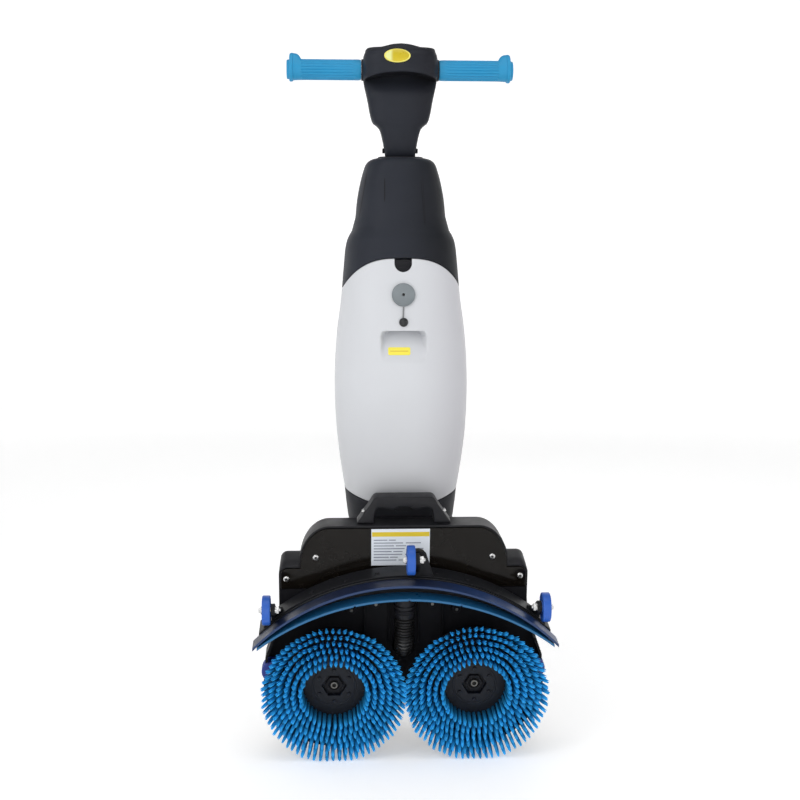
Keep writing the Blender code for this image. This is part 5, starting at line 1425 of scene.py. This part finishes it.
def make_handlebar():
    tube = [(0.0090, -0.186), (0.0105, -0.186), (0.0110, -0.1855), (0.0110, 0.1855), (0.0105, 0.186),
            (0.0090, 0.186)]
    piece("handlebar_fine", turned(tube, 48, ring=True), STEEL, GRIP_AXIS @ ALONG_X,
          "head", ("handlebar",), sharp=40)
    start, end, flutes, flute_depth = 0.0655, 0.190, 20, 0.0016
    # Each row: how far out along the bar, the radius, how much of the flutes and how high the top lobe.
    rows = ((start, 0.0152, 0, 0), (start + 0.0005, 0.0165, 0, 0), (start + 0.004, 0.0171, 0, 0),
            (start + 0.010, 0.0172, 0, 0), (start + 0.014, 0.0172, 1, 0), (0.1300, 0.0172, 1, 0),
            (end - 0.026, 0.0172, 1, 0), (end - 0.0245, 0.0172, 0, 0), (end - 0.0225, 0.0173, 0, 0.0034),
            (end - 0.0200, 0.0174, 0, 0.0066), (end - 0.0165, 0.0176, 0, 0.0086),
            (end - 0.0125, 0.0178, 0, 0.0090), (end - 0.0105, 0.0184, 0, 0.0086),
            (end - 0.0098, 0.0198, 0, 0.0076), (end - 0.0075, 0.0201, 0, 0.0072),
            (end - 0.0052, 0.0198, 0, 0.0060), (end - 0.0044, 0.0188, 0, 0.0040), (end - 0.0042, 0.0162, 0, 0),
            (end - 0.0012, 0.0160, 0, 0), (end - 0.0003, 0.0152, 0, 0), (end, 0.0138, 0, 0),
            (end, 0.0010, 0, 0), (end - 0.0035, 0.0010, 0, 0), (end - 0.0035, 0.0113, 0, 0),
            (start, 0.0113, 0, 0))
    for side, turn, up in (("left", ALONG_MINUS_X, 1), ("right", ALONG_X, -1)):     # up: the x that points up
        sections = []
        for x, radius, flute, lobe in rows:
            section = []
            for angle in round_angles(160):
                wave = 0.5 - 0.5 * cos(flutes * angle)
                here = radius - flute * flute_depth * wave ** 2 + lobe * max(0.0, cos(angle) * up) ** 5
                section.append(Vector((here * cos(angle), here * sin(angle), x)))
            sections.append(section)
        piece(f"grip_{side}_fine", loft(sections, ring=True), GRIP_BLUE,
              GRIP_AXIS @ turn, "head", (f"grip_{side}",), sharp=40,
              slot="grip_blue_rubber")


def make_control_panel():
    rise, crown_half = PANEL_CROWN - PANEL_SHOULDER, 0.033
    half_x, front, rear = 0.0588, 0.0385, 0.0275
    count = 128

    def crown(x):
        if abs(x) >= crown_half:
            return PANEL_SHOULDER - 0.0030 * within((abs(x) - 0.0540) / 0.0060) ** 2
        return PANEL_SHOULDER + rise * (1 - (x / crown_half) ** 2) ** 1.35

    def plan(scale_x, scale_y):
        return [(scale_x * half_x * squared(cos(angle), 2 / HEAD_POWER),
                 scale_y * (front if sin(angle) < 0 else rear) * squared(sin(angle), 2 / HEAD_POWER))
                for angle in round_angles(count)]

    rings = [[Vector((x, y, PANEL_LOW)) for x, y in plan(1, 1)]]
    rings += [[Vector((x, y, crown(x) - drop)) for x, y in plan(scale_x, scale_y)]
              for scale_x, scale_y, drop in ((1, 1, 0.0012), (0.994, 0.988, 0.0005), (0.983, 0.968, 0.0001))]
    verts, faces = loft(rings, caps=False)
    faces.append(tuple(range(count)))
    top = 3 * count
    half = count // 2
    # The top surface: its height depends on x only, so matching points front and rear are joined.
    for k in range(half):
        a, b = k, k + 1
        c, d = (count - k - 1) % count, (count - k) % count
        faces.append(tuple(dict.fromkeys((top + a, top + b, top + c, top + d))))
    button_z = PANEL_SHOULDER - 0.0010
    cuts = [shifted(turned([(0.0070, -0.0034), (0.0070, 0.02)], 48), at(x, BUTTON_Y, button_z))
            for x in (-BUTTON_X, BUTTON_X)]
    piece("control_panel_fine", (verts, faces), CHARCOAL, COLUMN, "head", ("control_panel",), cuts=cuts,
          sharp=40, slot="charcoal_plastic")
    button = [(0, -0.0015), (0.0064, -0.0015), (0.0064, 0.0022), (0.0060, 0.0029), (0.0050, 0.0033),
              (0.0030, 0.0031), (0, 0.0030)]
    for name, x in (("power", -BUTTON_X), ("water", BUTTON_X)):
        piece(f"{name}_button_fine", turned(button, 48), GRIP_BLUE, COLUMN @ at(x, BUTTON_Y, button_z), name,
              (f"{name}_button",), sharp=40)


def make_sticker():
    """A plain yellow sticker on the sloping floor of the hand recess."""
    low, high, left, right, corner, lift = 0.6550, 0.6675, -0.0250, 0.0110, 0.0018, 0.00035

    def laid(x, z, lift):
        p = face_of(x, z, lift)
        return Vector((p.x, p.y + scoop(p), p.z))
    rows = []
    for j in range(9):
        z = low + (high - low) * j / 8
        row = [laid(left + (right - left) * k / 24, z, lift) for k in range(25)]
        if j in (0, 8):
            row[0], row[-1] = laid(left + corner, z, lift), laid(right - corner, z, lift)
        rows.append(row)
    piece("tank_sticker", grid(rows), STICKER, COLUMN, "clean_water", sharp=60)
    line = [[laid(-0.0215 + 0.0290 * k / 20, z, 0.00050) for k in range(21)] for z in (0.6609, 0.6618)]
    piece("tank_sticker_line", grid(line), STICKER_INK, COLUMN, "clean_water", sharp=60)


for make in (make_studio, make_camera, make_deck_base, make_housing, make_underside_panel, make_label,
             make_carry_handle, make_hose, make_transport_gear, make_joint, make_brushes, make_wall_rollers,
             make_squeegee, make_squeegee_wheels, make_tanks, make_caps, make_latch, make_dome, make_spine,
             make_lower_shell, make_head, make_badge, make_handlebar, make_control_panel, make_sticker):
    make()
